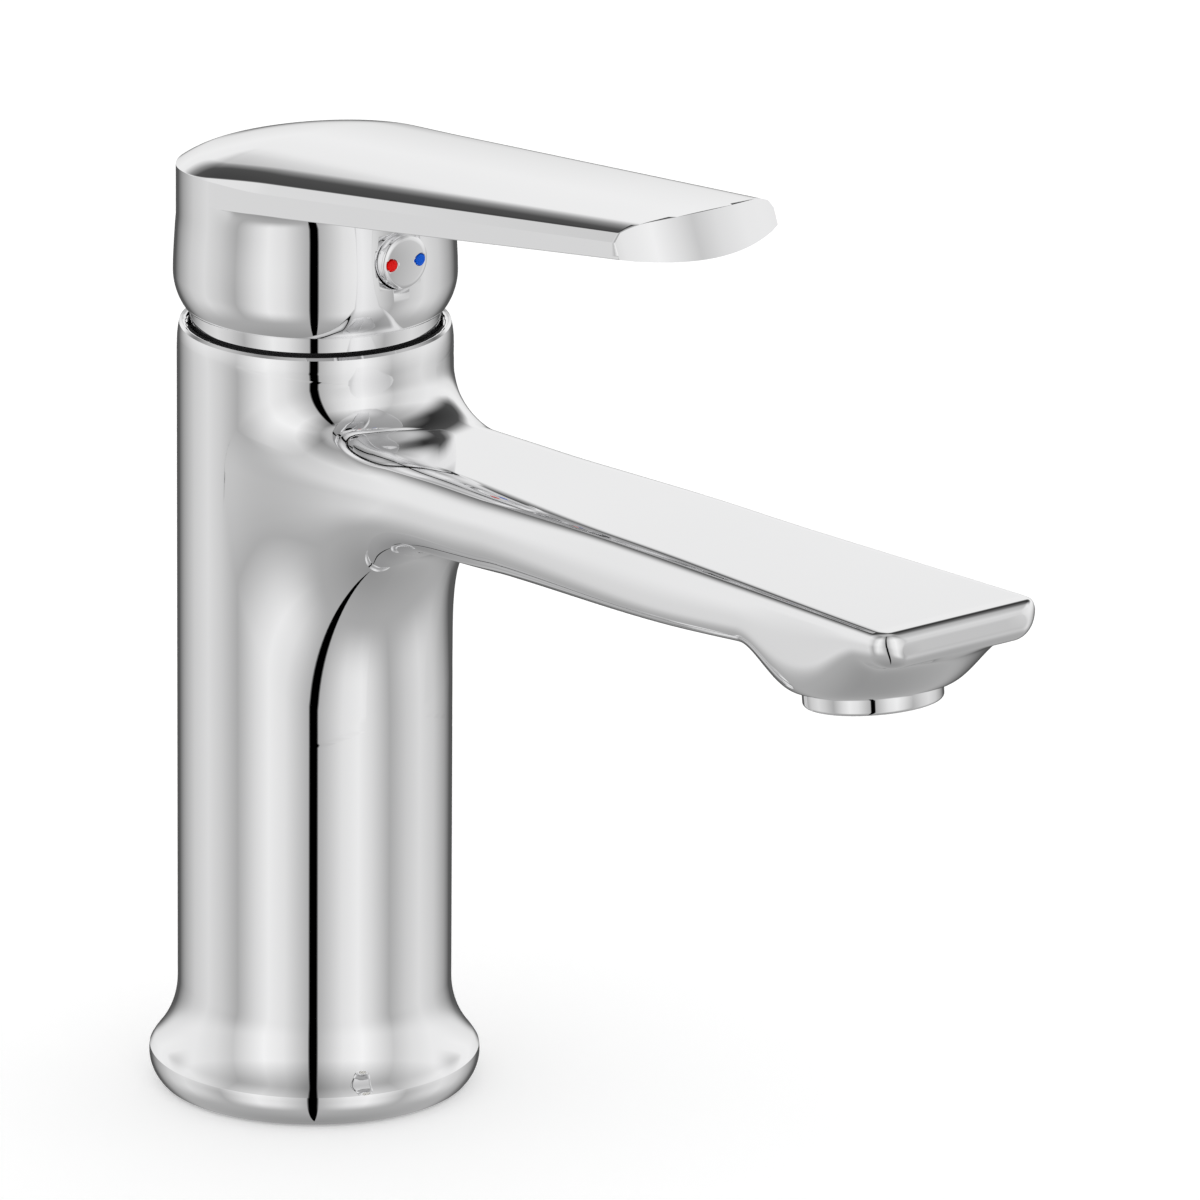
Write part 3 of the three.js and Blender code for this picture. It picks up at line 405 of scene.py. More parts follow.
def cut_away(piece, cutters):
    """Takes the cutters out of the piece, applies the result and removes the cutters."""
    for cutter in cutters:
        step = piece.modifiers.new("cut", "BOOLEAN")
        step.operation = "DIFFERENCE"
        step.solver = "EXACT"
        step.object = cutter
    bpy.context.view_layer.update()
    graph = bpy.context.evaluated_depsgraph_get()
    result = bpy.data.meshes.new_from_object(piece.evaluated_get(graph))
    piece.modifiers.clear()
    old = piece.data
    piece.data = result
    bpy.data.meshes.remove(old)
    for cutter in cutters:
        mesh = cutter.data
        bpy.data.objects.remove(cutter)
        bpy.data.meshes.remove(mesh)
    return piece


def at_outlet():
    """From the outlet's own axis to the faucet, in metres."""
    place = Matrix.Translation((0, OUTLET_Y * MM, OUTLET_Z * MM))
    return place @ Matrix.Rotation(-OUTLET_TILT, 4, "X")


# ---- Body ----
def foot_profile():
    """The foot and its flare as (r, z), from the deck up to the straight column."""
    crease = math.radians(FOOT_CREASE_TILT)
    centre_r = FOOT_WIDEST_R - FOOT_BAND_RADIUS
    centre_z = -FOOT_BAND_RADIUS * math.sin(math.radians(FOOT_BAND_LOW))
    band = arc(centre_r, centre_z, FOOT_BAND_RADIUS, FOOT_BAND_LOW, FOOT_BAND_TOP, FOOT_BAND_STEPS)
    edge_r, edge_z = band[-1]
    reach = COLUMN_R + FLARE_RADIUS - edge_r + SHOULDER_RADIUS * math.cos(crease)
    meet = math.acos(reach / (SHOULDER_RADIUS + FLARE_RADIUS))
    shoulder_z = edge_z - SHOULDER_RADIUS * math.sin(crease)
    shoulder = arc(edge_r - SHOULDER_RADIUS * math.cos(crease), shoulder_z, SHOULDER_RADIUS,
                   FOOT_CREASE_TILT, math.degrees(meet), SHOULDER_STEPS)
    flare_z = shoulder_z + (SHOULDER_RADIUS + FLARE_RADIUS) * math.sin(meet)
    flare_end = 180 + math.degrees(meet)
    flare = arc(COLUMN_R + FLARE_RADIUS, flare_z, FLARE_RADIUS, flare_end, 180, FLARE_STEPS)
    over = tuple(lerp(np.array(shoulder[0]), np.array(shoulder[1]), FOOT_CREASE_WIDTH))
    under = tuple(lerp(np.array(band[-1]), np.array(band[-2]), FOOT_CREASE_WIDTH))
    return [*band[:-1], under, band[-1], over, *shoulder[1:], *flare[1:]]


def column_radius(z):
    """The column draws in to its rim over RIM_TAPER."""
    share = np.clip((z - COLUMN_TOP + RIM_TAPER) / (RIM_TAPER - RIM_CHAMFER), 0, None)
    return lerp(COLUMN_R, RIM_R, share**2)


def front_ring(r, turn, z):
    """Points at a radius and height, `turn` radians round from the spout's side towards +X."""
    return np.stack([r * np.sin(turn), -r * np.cos(turn), z + 0 * turn], 1)


def on_column(turn, z):
    return front_ring(column_radius(z), turn, z)


def window_steps():
    """Steps of the column's grid across and down the window that the spout grows out of."""
    across = int(2 * WINDOW_HALF / COLUMN_STEP)
    down = SIDE_STEPS + (CORNER_STEPS + LOW_CORNER_STEPS) // 2
    return across, down


def window_border():
    """The window's border as (turn, z), anticlockwise seen from outside, from its upper right corner."""
    across, down = window_steps()
    half = math.radians(WINDOW_HALF)
    top = [(t, WINDOW_HIGH) for t in np.linspace(half, -half, across + 1)[:-1]]
    left = [(-half, z) for z in np.linspace(WINDOW_HIGH, WINDOW_LOW, down + 1)[:-1]]
    low = [(t, WINDOW_LOW) for t in np.linspace(-half, half, across + 1)[:-1]]
    right = [(half, z) for z in np.linspace(WINDOW_LOW, WINDOW_HIGH, down + 1)[:-1]]
    return np.array(top + left + low + right)


def column_patches():
    """The column without its window."""
    across, down = window_steps()
    half = math.radians(WINDOW_HALF)
    around = int(360 / COLUMN_STEP)
    full = np.linspace(half, half + 2 * math.pi, around, endpoint=False)
    back = np.linspace(half, 2 * math.pi - half, around - across + 1)
    low = []
    for r, z in divided([*foot_profile(), (COLUMN_R, WINDOW_LOW)], FOOT_STEP):
        low.append(front_ring(r, full, z))
    high = []
    for z in np.linspace(WINDOW_HIGH, COLUMN_TOP - RIM_CHAMFER, RIM_RINGS):
        high.append(front_ring(column_radius(z), full, z))
    high.append(front_ring(RIM_R - RIM_CHAMFER, full, COLUMN_TOP))
    behind = []
    for z in np.linspace(WINDOW_LOW, WINDOW_HIGH, down + 1):
        behind.append(front_ring(column_radius(z), back, z))
    return [
        fan(low[0], (0, 0, 0), False),
        patch(low, True),
        patch(behind, False),
        patch(high, True),
        fan(high[-1], (0, 0, COLUMN_TOP), True),
    ]


def edge_radius(y):
    """The radius of the spout's upper edge at y."""
    far, middle, near = EDGE_YS
    return (TOP_EDGE + (TOP_EDGE_MIDDLE - TOP_EDGE) * smooth(y, far, middle)
            + (TOP_EDGE_ROOT - TOP_EDGE_MIDDLE) * smooth(y, middle, near))


def section_sizes(y):
    """Half width, top, low, upper and lower corner radius of the straight spout at y, as arrays."""
    w = lerp(ROOT_W, TIP_W, (y - ROOT_Y) / (TIP_Y - ROOT_Y))
    top = lerp(TOP_ROOT_Z, TOP_TIP_Z, (y - ROOT_Y) / (TIP_Y - ROOT_Y))
    low_near = lerp(LOW_ROOT_Z, LOW_BEND_Z, (y - ROOT_Y) / (LOW_BEND_Y - ROOT_Y))
    low_far = lerp(LOW_BEND_Z, LOW_TIP_Z, (y - LOW_BEND_Y) / (TIP_Y - LOW_BEND_Y))
    low = np.logaddexp(low_near * LOW_BEND_SHARPNESS, low_far * LOW_BEND_SHARPNESS) / LOW_BEND_SHARPNESS
    low_edge = LOW_EDGE + (LOW_EDGE_ROOT - LOW_EDGE) * smooth(y, *LOW_EDGE_YS)
    return w, top, low, edge_radius(y), low_edge


def section(y, side=0.0, over=0.0, under=0.0):
    """The spout's outline at y, anticlockwise from the middle of its upper right corner.

    Also gives the outline's outward directions in x and z. y may be one number or one for each point.
    side, over and under draw the outline in.
    """
    across, _ = window_steps()
    parts = [
        ("upper", 1, np.linspace(0.5, 1, CORNER_STEPS // 2 + 1)[:-1]),
        ("top", 0, np.linspace(1, -1, across - CORNER_STEPS + 1)[:-1]),
        ("upper", -1, np.linspace(1, 0, CORNER_STEPS + 1)[:-1]),
        ("side", -1, np.linspace(0, 1, SIDE_STEPS + 1)[:-1]),
        ("lower", -1, np.linspace(0, 1, LOW_CORNER_STEPS + 1)[:-1]),
        ("low", 0, np.linspace(-1, 1, across - LOW_CORNER_STEPS + 1)[:-1]),
        ("lower", 1, np.linspace(1, 0, LOW_CORNER_STEPS + 1)[:-1]),
        ("side", 1, np.linspace(1, 0, SIDE_STEPS + 1)[:-1]),
        ("upper", 1, np.linspace(0, 0.5, CORNER_STEPS // 2 + 1)[:-1]),
    ]
    total = sum(len(values) for *_, values in parts)
    y = np.broadcast_to(np.asarray(y, float), (total,))
    w, top, low, edge, low_edge = section_sizes(y)
    w, top, low = w - side, top - over, low + under
    lean = math.radians(SIDE_LEAN)
    edge = np.minimum(edge, (top - low) / 2)
    low_edge = np.minimum(low_edge, (top - low - edge) * LOW_EDGE_SHARE)
    side_top = top - edge * (1 - math.sin(lean))
    side_low = low + low_edge
    bow = math.tan(lean) * (side_top - side_low) / 2
    top_w = w - bow - edge * math.cos(lean)
    x, z, nx, nz = (np.zeros(total) for _ in range(4))
    at = 0
    for kind, sign, values in parts:
        s = slice(at, at + len(values))
        at += len(values)
        if kind == "upper":
            turn = lerp(lean, math.pi / 2, values)
            nx[s], nz[s] = sign * np.cos(turn), np.sin(turn)
            x[s] = sign * top_w[s] + edge[s] * nx[s]
            z[s] = top[s] - edge[s] + edge[s] * nz[s]
        elif kind == "top":
            nz[s] = 1
            x[s] = values * top_w[s]
            z[s] = top[s]
        elif kind == "side":
            turn = np.arctan(math.tan(lean) * (1 - values))
            nx[s], nz[s] = sign * np.cos(turn), np.sin(turn)
            x[s] = sign * (w[s] - bow[s] * (1 - values) ** 2)
            z[s] = lerp(side_top[s], side_low[s], values)
        elif kind == "lower":
            turn = values * math.pi / 2
            nx[s], nz[s] = sign * np.cos(turn), -np.sin(turn)
            x[s] = sign * (w[s] - low_edge[s]) + low_edge[s] * nx[s]
            z[s] = side_low[s] + low_edge[s] * nz[s]
        else:
            nz[s] = -1
            x[s] = values * (w[s] - low_edge[s])
            z[s] = low[s]
    return np.stack([x, y, z], 1), nx, nz


def blend_rings():
    """Rings from the window's border over the column, and out along the blend to the straight spout."""
    root, nx, nz = section(-COLUMN_R)
    x = root[:, 0]
    facing = -np.sqrt(COLUMN_R**2 - x**2)
    upright = np.where(nz > 0, BLEND_TOP, BLEND_LOW)
    reach_end = np.where(nz > 0, REACH_TOP, REACH_LOW)
    reach = REACH_SIDE + (reach_end - REACH_SIDE) * nz**2
    across, up = nx * BLEND_SIDE, nz * upright
    spread = np.hypot(across, up)
    turn = np.arcsin(x / COLUMN_R) + across / COLUMN_R
    z = root[:, 2] + up
    touch = on_column(turn, z)
    sideways = np.stack([np.cos(turn), np.sin(turn), 0 * turn], 1)
    away = sideways * (across / spread)[:, None] + np.outer(up / spread, (0, 0, 1))
    start_y = facing - reach
    start = section(start_y)[0]
    ahead = section(start_y + 1)[0]
    along = (ahead - start) * (HUG_SPOUT * reach)[:, None]
    down = away * (HUG_COLUMN * spread)[:, None]
    controls = [touch, touch - down / 2, touch - down, start + along, start + along / 2, start]
    border = window_border()
    rings = []
    for share in np.linspace(0, 1, WINDOW_RINGS + 1)[:-1]:
        ring = lerp(border, np.stack([turn, z], 1), share)
        rings.append(on_column(ring[:, 0], ring[:, 1]))
    last = len(controls) - 1
    for t in np.linspace(0, 1, BLEND_STEPS + 1):
        weights = [math.comb(last, i) * t**i * (1 - t) ** (last - i) for i in range(last + 1)]
        rings.append(sum(weight * control for weight, control in zip(weights, controls)))
    return rings, start_y


def boss_drop(points):
    """Lowers the spout's underside and flanks to the outlet's flat round face."""
    y, z = points[:, 1], points[:, 2]
    _, top, low, edge, low_edge = section_sizes(y)
    along = (y - OUTLET_Y) / math.cos(OUTLET_TILT)
    far = np.hypot(points[:, 0], along)
    face = OUTLET_Z - along * math.sin(OUTLET_TILT) + BOSS_LOW * math.cos(OUTLET_TILT)
    share = 1 - smooth(far, BOSS_FLAT_R, BOSS_SPREAD_R)
    depth = np.clip((top - edge - z) / (top - edge - low), 0, 1)
    weight = np.where(z > low + low_edge, depth, 1.0)
    out = points.copy()
    out[:, 2] = z - weight * share * np.maximum(low - face, 0)
    return out


def rounding(r, left):
    """How far an edge of radius r draws in where `left` is left to its end."""
    return r - math.sqrt(max(0, r * r - max(0, r - left) ** 2))


def spout_rings(start_y):
    """Rings from the blend's end, at start_y for each point, out to the edge of the tip's face."""
    rings = []
    for share in shares(LEADING_STEPS):
        rings.append(section(lerp(start_y, STRAIGHT_FROM, share))[0])
    for y in np.arange(STRAIGHT_FROM - STRAIGHT_STEP, BOSS_FROM, -STRAIGHT_STEP):
        rings.append(section(y)[0])
    body_end = TIP_Y + TIP_CORNER
    for y in np.linspace(BOSS_FROM, body_end, BOSS_STEPS + 1):
        rings.append(boss_drop(section(y)[0]))
    for turn in quarter(TIP_STEPS):
        y = body_end - TIP_CORNER * math.sin(turn)
        ring = section(y, *(rounding(r, y - TIP_Y) for r in (TIP_CORNER, TIP_TOP_ROLL, TIP_LOW_ROLL)))[0]
        ring[:, 1] += TIP_LEAN * (ring[:, 2] - ring[:, 2].min()) * math.sin(turn)
        rings.append(boss_drop(ring))
    return rings


def uncut_body():
    """The body's outside as one closed mesh, before its bores are cut."""
    blend, start_y = blend_rings()
    rings = blend + spout_rings(start_y)
    tip = rings[-1]
    middle = tip.mean(0)
    inner = [lerp(tip, middle, share) for share in TIP_FAN_SHARES]
    return new_object("body_chrome", [
        *column_patches(),
        patch(rings, True),
        patch(inner, True),
        fan(inner[-1], middle, True),
    ])


def make_body():
    chamber = turned("cut_chamber", [
        (0, CHAMBER_FLOOR), (CHAMBER_R, CHAMBER_FLOOR), (CHAMBER_R, NUT_BORE_Z), (NUT_BORE_R, NUT_BORE_Z),
        (NUT_BORE_R, RING_BORE_Z), (RING_BORE_R, RING_BORE_Z), (RING_BORE_R, COLUMN_TOP + CUT),
        (0, COLUMN_TOP + CUT)], TOOL_STEPS)
    outlet = turned("cut_outlet", [
        (0, -CUT), (BORE_R, -CUT), (BORE_R, BORE_TOP), (SEAT_R, BORE_TOP), (SEAT_R, SEAT_TOP), (0, SEAT_TOP)],
        TOOL_STEPS, at_outlet())
    groove = turned("cut_gasket", closed([
        (GASKET_IN, -CUT), (GASKET_OUT, -CUT), (GASKET_OUT, GASKET_GROOVE), (GASKET_IN, GASKET_GROOVE)]),
        TOOL_STEPS)
    cutters = [chamber, outlet, groove, rod("cut_cavity", CAVITY_R, -CUT, CAVITY_TOP)]
    start, shoulder, end = CAVITY_TOP - CUT, CAVITY_TOP + INLET_DEPTH, CHAMBER_FLOOR + CUT
    inlet = [(0, start), (INLET_R, start), (INLET_R, shoulder), (RISER_R, shoulder), (RISER_R, end), (0, end)]
    for sign in (-1, 1):
        port = Matrix.Translation((sign * INLET_X * MM, PORT_Y * MM, 0))
        cutters.append(turned(f"cut_inlet_{sign}", inlet, SMALL_STEPS, port))
    cutters.append(rod("cut_stud", STUD_R, start, CAVITY_TOP + STUD_DEPTH, 0, STUD_Y))
    return true_column(cut_away(uncut_body(), cutters))


def set_directions(piece, pick):
    """Gives face corners the shading directions that pick makes from their points, in millimetres.

    pick answers nan for a point that isn't on its surface, and such a corner stays as it is.
    """
    mesh = piece.data
    normals = np.array([corner.vector for corner in mesh.corner_normals])
    index = np.array([loop.vertex_index for loop in mesh.loops])
    points = np.array([vert.co for vert in mesh.vertices])[index] / MM
    corners = [face.loop_total for face in mesh.polygons]
    faces = np.repeat(np.array([face.normal for face in mesh.polygons]), corners, axis=0)
    wanted = pick(points)
    on = np.isfinite(wanted).all(1)
    on &= (faces * np.nan_to_num(wanted)).sum(1) > ALIKE
    normals[on] = wanted[on]
    mesh.normals_split_custom_set([tuple(n) for n in normals])
    return piece


def true_column(body):
    """Gives the column a cylinder's exact directions, so that reflections run straight over its grid."""
    def pick(points):
        x, y, z = points.T
        far = np.hypot(x, y)
        out = np.stack([x / far.clip(WELD), y / far.clip(WELD), 0 * far], 1)
        out[(np.abs(far - COLUMN_R) > WELD) | (z > COLUMN_TOP - RIM_TAPER)] = np.nan
        return out
    return set_directions(body, pick)


# ---- Trim ring, plug, dots and aerator collar ----
def make_trim_ring():
    """The ring's seen band over a drawn-in neck, and its skirt and plate inside the body."""
    edge = arc(RING_R - RING_EDGE, RING_TOP - RING_EDGE, RING_EDGE, 0, 90, EDGE_STEPS)
    return turned("trim_ring_chrome", closed([
        (RING_SKIRT_IN, RING_BORE_Z + GAP), (RING_R, RING_BORE_Z + GAP), (RING_R, RING_GROOVE_Z),
        (RING_NECK_R, RING_GROOVE_Z), (RING_NECK_R, RING_NECK_TOP), (RING_R, RING_NECK_TOP), *edge,
        (RING_IN_R, RING_TOP), (RING_IN_R, RING_PLATE_Z), (RING_SKIRT_IN, RING_PLATE_Z)]), RING_STEPS)


def facing_front():
    """From Z up to -Y, at the plug's height, in metres."""
    return Matrix.Translation((0, 0, PLUG_Z * MM)) @ Matrix.Rotation(math.radians(90), 4, "X")


def make_plug():
    face = -PLUG_FACE_Y
    inner = PLUG_R - PLUG_DOME
    rim = arc(inner, face - PLUG_DOME - PLUG_RISE, PLUG_DOME, 0, PLUG_RIM_END, EDGE_STEPS)
    crown = [(r, face - PLUG_RISE * (r / PLUG_R) ** 2) for r in np.linspace(inner, 0, PLUG_RINGS)]
    outline = [(0, -PLUG_BACK_Y), (PLUG_R, -PLUG_BACK_Y), *rim, *crown]
    plug = turned("index_plug_chrome", outline, TOOL_STEPS, facing_front())
    floor, end = face - DOT_DEEP - GAP, face + CUT
    pocket = [(0, floor), (DOT_POCKET_R, floor), (DOT_POCKET_R, end), (0, end)]
    pockets = []
    for sign in (-1, 1):
        spot = Matrix.Translation((sign * DOT_X * MM, 0, 0)) @ facing_front()
        pockets.append(turned(f"cut_dot_{sign}", pocket, SMALL_STEPS, spot))
    return cut_away(plug, pockets)


def make_dot(name, x):
    spot = Matrix.Translation((x * MM, 0, 0)) @ facing_front()
    back, face = -PLUG_FACE_Y - DOT_DEEP, -PLUG_FACE_Y + DOT_PROUD
    edge = arc(DOT_R - DOT_EDGE, face - DOT_EDGE, DOT_EDGE, 0, 90, DOT_EDGE_STEPS)
    return turned(name, [(0, back), (DOT_R, back), *edge, (0, face)], SMALL_STEPS, spot)


def make_collar():
    """The aerator's collar, with its threaded stretch up inside the boss."""
    edge = arc(COLLAR_R - COLLAR_EDGE, COLLAR_EDGE, COLLAR_EDGE, -90, 0, EDGE_STEPS)
    return turned("aerator_collar_chrome", closed([
        (LIP_R, 0.0), *edge, (COLLAR_R, COLLAR_TOP), (THREAD_R, COLLAR_TOP), (THREAD_R, AERATOR_TOP),
        (AERATOR_IN_R, AERATOR_TOP), (AERATOR_IN_R, LIP_TOP), (LIP_R, LIP_TOP)]), COLLAR_STEPS, at_outlet())


# ---- Handle ----
def blade_outline():
    """The uncut blade from above, anticlockwise from the middle of its end.

    Gives x, y, the y of the crown's ridge beside the point, and the angle of the point's partner on the cup.
    """
    tip = np.array([BLADE_TIP_W, BLADE_TIP_Y])
    away = math.acos(BLADE_R / np.hypot(*tip))
    tangent = math.atan2(tip[1], tip[0]) + away
    root = BLADE_R * np.array([math.cos(tangent), math.sin(tangent)])
    r = BLANK_CORNER
    slope = (tip - root) / (tip - root)[1]
    end = root + slope * (BLANK_Y + r - root[1])
    inner = end[0] - r
    end_steps, corner_steps, side_steps, back_steps = BLANK_STEPS
    front = [(inner * s, BLANK_Y, RIDGE_END) for s in np.linspace(0, 1, end_steps + 1)]
    corner = []
    for a in quarter(corner_steps):
        corner.append((inner + r * math.sin(a), end[1] - r * math.cos(a), RIDGE_END))
    side = []
    for share in shares(side_steps):
        x, y = lerp(end, root, share)
        side.append((x, y, max(y, RIDGE_END)))
    behind = np.linspace(tangent, math.pi / 2, back_steps + 1)[1:]
    back = [(BLADE_R * math.cos(a), BLADE_R * math.sin(a), 0.0) for a in behind]
    ahead = np.array(front + corner + side)
    # A point ahead of the cup has a partner on the cup's wall, spaced by how far along the edge it is.
    run = np.concatenate([[0], np.cumsum(np.hypot(*np.diff(ahead[:, :2], axis=0).T))])
    partner = lerp(-math.pi / 2, tangent, (run / run[-1]) ** PARTNER_POWER)
    right = np.column_stack([np.vstack([ahead, back]), np.concatenate([partner, behind])])
    left = right[-2:0:-1].copy()
    left[:, 0] *= -1
    left[:, 3] = math.pi - left[:, 3]
    return np.vstack([right, left])


def blade_top(y, share):
    """The crowned top at y, a share of the way out from its ridge."""
    along = np.clip(y / BLADE_TIP_Y, 0, 1)
    return BLADE_TOP_Z - BLADE_TOP_SLOPE * y - lerp(CROWN_CUP, CROWN_TIP, along) * share**2


def blade_low(x, y):
    """The underside, which rises towards its edges at the tip."""
    belly = BLADE_BELLY * np.clip(y / BLADE_TIP_Y, 0, None) ** 2 * (x / BLADE_TIP_W) ** 2
    return BLADE_LOW_Z - BLADE_LOW_SLOPE * y + belly


def blade_level(outline, fall=0.0, inset=0.0, share=None, rise=None):
    """A ring round the blade, `fall` under its crowned top, or a share `rise` of the way up its side.

    It is drawn in from the outline by `inset`, or stands at a `share` of the way out from the ridge.
    """
    x, y, ridge, _ = outline.T
    out = share if share is not None else 1 - inset / np.hypot(x, y - ridge)
    x, y = x * out, ridge + (y - ridge) * out
    z = blade_top(y, out) - fall
    if rise is not None:
        z = lerp(blade_low(x, y) + BLADE_LOW_EDGE, z, rise)
    return np.stack([x, y, z + 0 * x], 1)


def cup_low_profile():
    """The cup's wall from its straight stretch down round its lower edge, as (r, z)."""
    reach = CUP_R - CUP_LOW_R
    rise = CUP_ROUND_TOP - CUP_LOW
    r = (reach**2 + rise**2) / (2 * reach)
    start = -math.degrees(math.asin(rise / r))
    return arc(CUP_R - r, CUP_ROUND_TOP, r, start, 0, CUP_LOW_STEPS)[::-1]


def cup_radius(z):
    """The cup's wall draws in a little from its widest ring up to the blade's back."""
    return lerp(CUP_R, BLADE_R, smooth(z, CUP_ROUND_TOP, CUP_ROUND_TOP + CUP_TAPER))


def blade_levels(outline):
    """Rings from the crown's ridge out over the roll and the facet, and down the blade's side."""
    facet = 1 - smooth(outline[:, 1], FACET_FULL_Y, FACET_NONE_Y)
    levels = [blade_level(outline, share=s) for s in np.linspace(0, CROWN_SHARE, CROWN_RINGS)]
    for s in np.linspace(0, 1, ROLL_RINGS):
        levels.append(blade_level(outline, ROLL_FALL * s * s, FACET_ACROSS * facet + ROLL_ACROSS * (1 - s)))
    for s in FACET_SHARES:
        inset = FACET_ACROSS * facet * (1 - s)
        levels.append(blade_level(outline, ROLL_FALL + FACET_FALL * facet * s, inset))
    for s in SIDE_SHARES:
        levels.append(blade_level(outline, ROLL_FALL + FACET_FALL * facet, rise=s))
    return levels


def under_levels(edge, angle):
    """Rings from the side's lower edge in along the underside, and down the fillet to the cup's wall."""
    wall = ring_points(BLADE_R, angle, 0)
    gap = np.hypot(*(edge - wall)[:, :2].T)
    apart = gap > ZERO
    inward = np.where(apart[:, None], (wall - edge)[:, :2] / np.maximum(gap, ZERO)[:, None], 0)
    roll = np.minimum(BLADE_LOW_EDGE, gap * LOW_EDGE_GAP)
    levels = []
    for turn in quarter(LOW_EDGE_STEPS):
        row = edge.copy()
        row[:, :2] += inward * (roll * (1 - math.cos(turn)))[:, None]
        row[:, 2] -= roll * math.sin(turn)
        levels.append(row)
    start = levels[-1].copy()
    fillet = np.minimum(NECK_FILLET, gap * NECK_GAP)
    foot = blade_low(wall[:, 0], wall[:, 1]) - NECK_FILLET
    lip = start.copy()
    lip[:, :2] = wall[:, :2] - inward * fillet[:, None]
    lip[:, 2] = np.where(apart, blade_low(lip[:, 0], lip[:, 1]), start[:, 2])
    for share in shares(UNDER_STEPS):
        row = lerp(start, lip, share)
        row[:, 2] = np.where(gap > WALL_CLOSE, blade_low(row[:, 0], row[:, 1]), row[:, 2])
        levels.append(row)
    for turn in quarter(NECK_STEPS):
        row = lip.copy()
        row[:, :2] = wall[:, :2] - inward * (fillet * (1 - math.sin(turn)))[:, None]
        row[:, 2] = lerp(lip[:, 2], foot, 1 - math.cos(turn))
        levels.append(row)
    return levels


def cup_levels(foot, angle):
    """Rings down the cup's wall from the heights in foot, round its lower edge, and up inside."""
    levels = []
    for share in shares(WALL_STEPS):
        z = lerp(foot, CUP_ROUND_TOP, share)
        r = cup_radius(z)
        levels.append(np.stack([r * np.cos(angle), r * np.sin(angle), z], 1))
    inside = [(CUP_IN_R, CUP_LOW), (CUP_IN_R, CUP_CEILING - CUP_CEILING_CORNER), (CUP_CEILING_R, CUP_CEILING),
              (CUP_MIDDLE_R, CUP_CROWN)]
    for r, z in [*cup_low_profile()[1:], *inside]:
        levels.append(ring_points(r, angle, z))
    return levels


def handle_levels():
    outline = blade_outline()
    angle = outline[:, 3]
    blade = blade_levels(outline)
    under = under_levels(blade[-1], angle)
    return blade + under + cup_levels(under[-1][:, 2], angle)


def face_y(x, z):
    """The lever's bowed, leaning tip face, and how far it leans per unit of height."""
    (low_y, low_z), (top_y, top_z) = FACE_LOW, FACE_TOP
    lean = (top_y - low_y) / (top_z - low_z)
    return low_y + lean * (z - low_z) + FACE_BOW * (x / BLADE_TIP_W) ** 2, lean


def tip_cutter():
    """The space ahead of the tip face."""
    wide = BLADE_TIP_W * CUTTER_WIDTH
    ahead = BLANK_Y - CUTTER_RISE
    x = np.linspace(-wide, wide, CUTTER_POINTS)
    rings = []
    for edge, side in ((FACE_LOW[1], -1), (FACE_TOP[1], 1)):
        heights = [edge + side * CUTTER_RISE * share for share in (0, 0.5, 1)]
        for z in heights[::side]:
            y, _ = face_y(x, z)
            rings.append([*zip(x, y, np.full(len(x), z)), (wide, ahead, z), (-wide, ahead, z)])
    caps = []
    for ring, outward in ((rings[0], False), (rings[-1], True)):
        caps.append(fan(ring, (0, BLANK_Y - CUTTER_RISE / 2, ring[0][2]), outward))
    return new_object("cut_tip", [patch(rings, True), *caps])


def true_face(handle):
    """Gives the cut tip face the exact directions of the surface that it was cut by."""
    def pick(points):
        x, y, z = points.T
        surface, lean = face_y(x, z)
        out = np.stack([2 * FACE_BOW * x / BLADE_TIP_W**2, -np.ones_like(x), lean + 0 * x], 1)
        out /= np.linalg.norm(out, axis=1)[:, None]
        out[np.abs(y - surface) > FACE_NEAR] = np.nan
        return out
    return set_directions(handle, pick)


def make_handle():
    levels = handle_levels()
    handle = new_object("handle_chrome", [patch(levels, True), fan(levels[-1], (0, 0, CUP_CROWN), True)])
    back, end = -PLUG_BACK_Y, CUP_R + 2 * CUT
    outline = [(0, back), (PLUG_HOLE_R, back), (PLUG_HOLE_R, end), (0, end)]
    hole = turned("cut_plug", outline, TOOL_STEPS, facing_front())
    return true_face(cut_away(handle, [hole, tip_cutter()]))


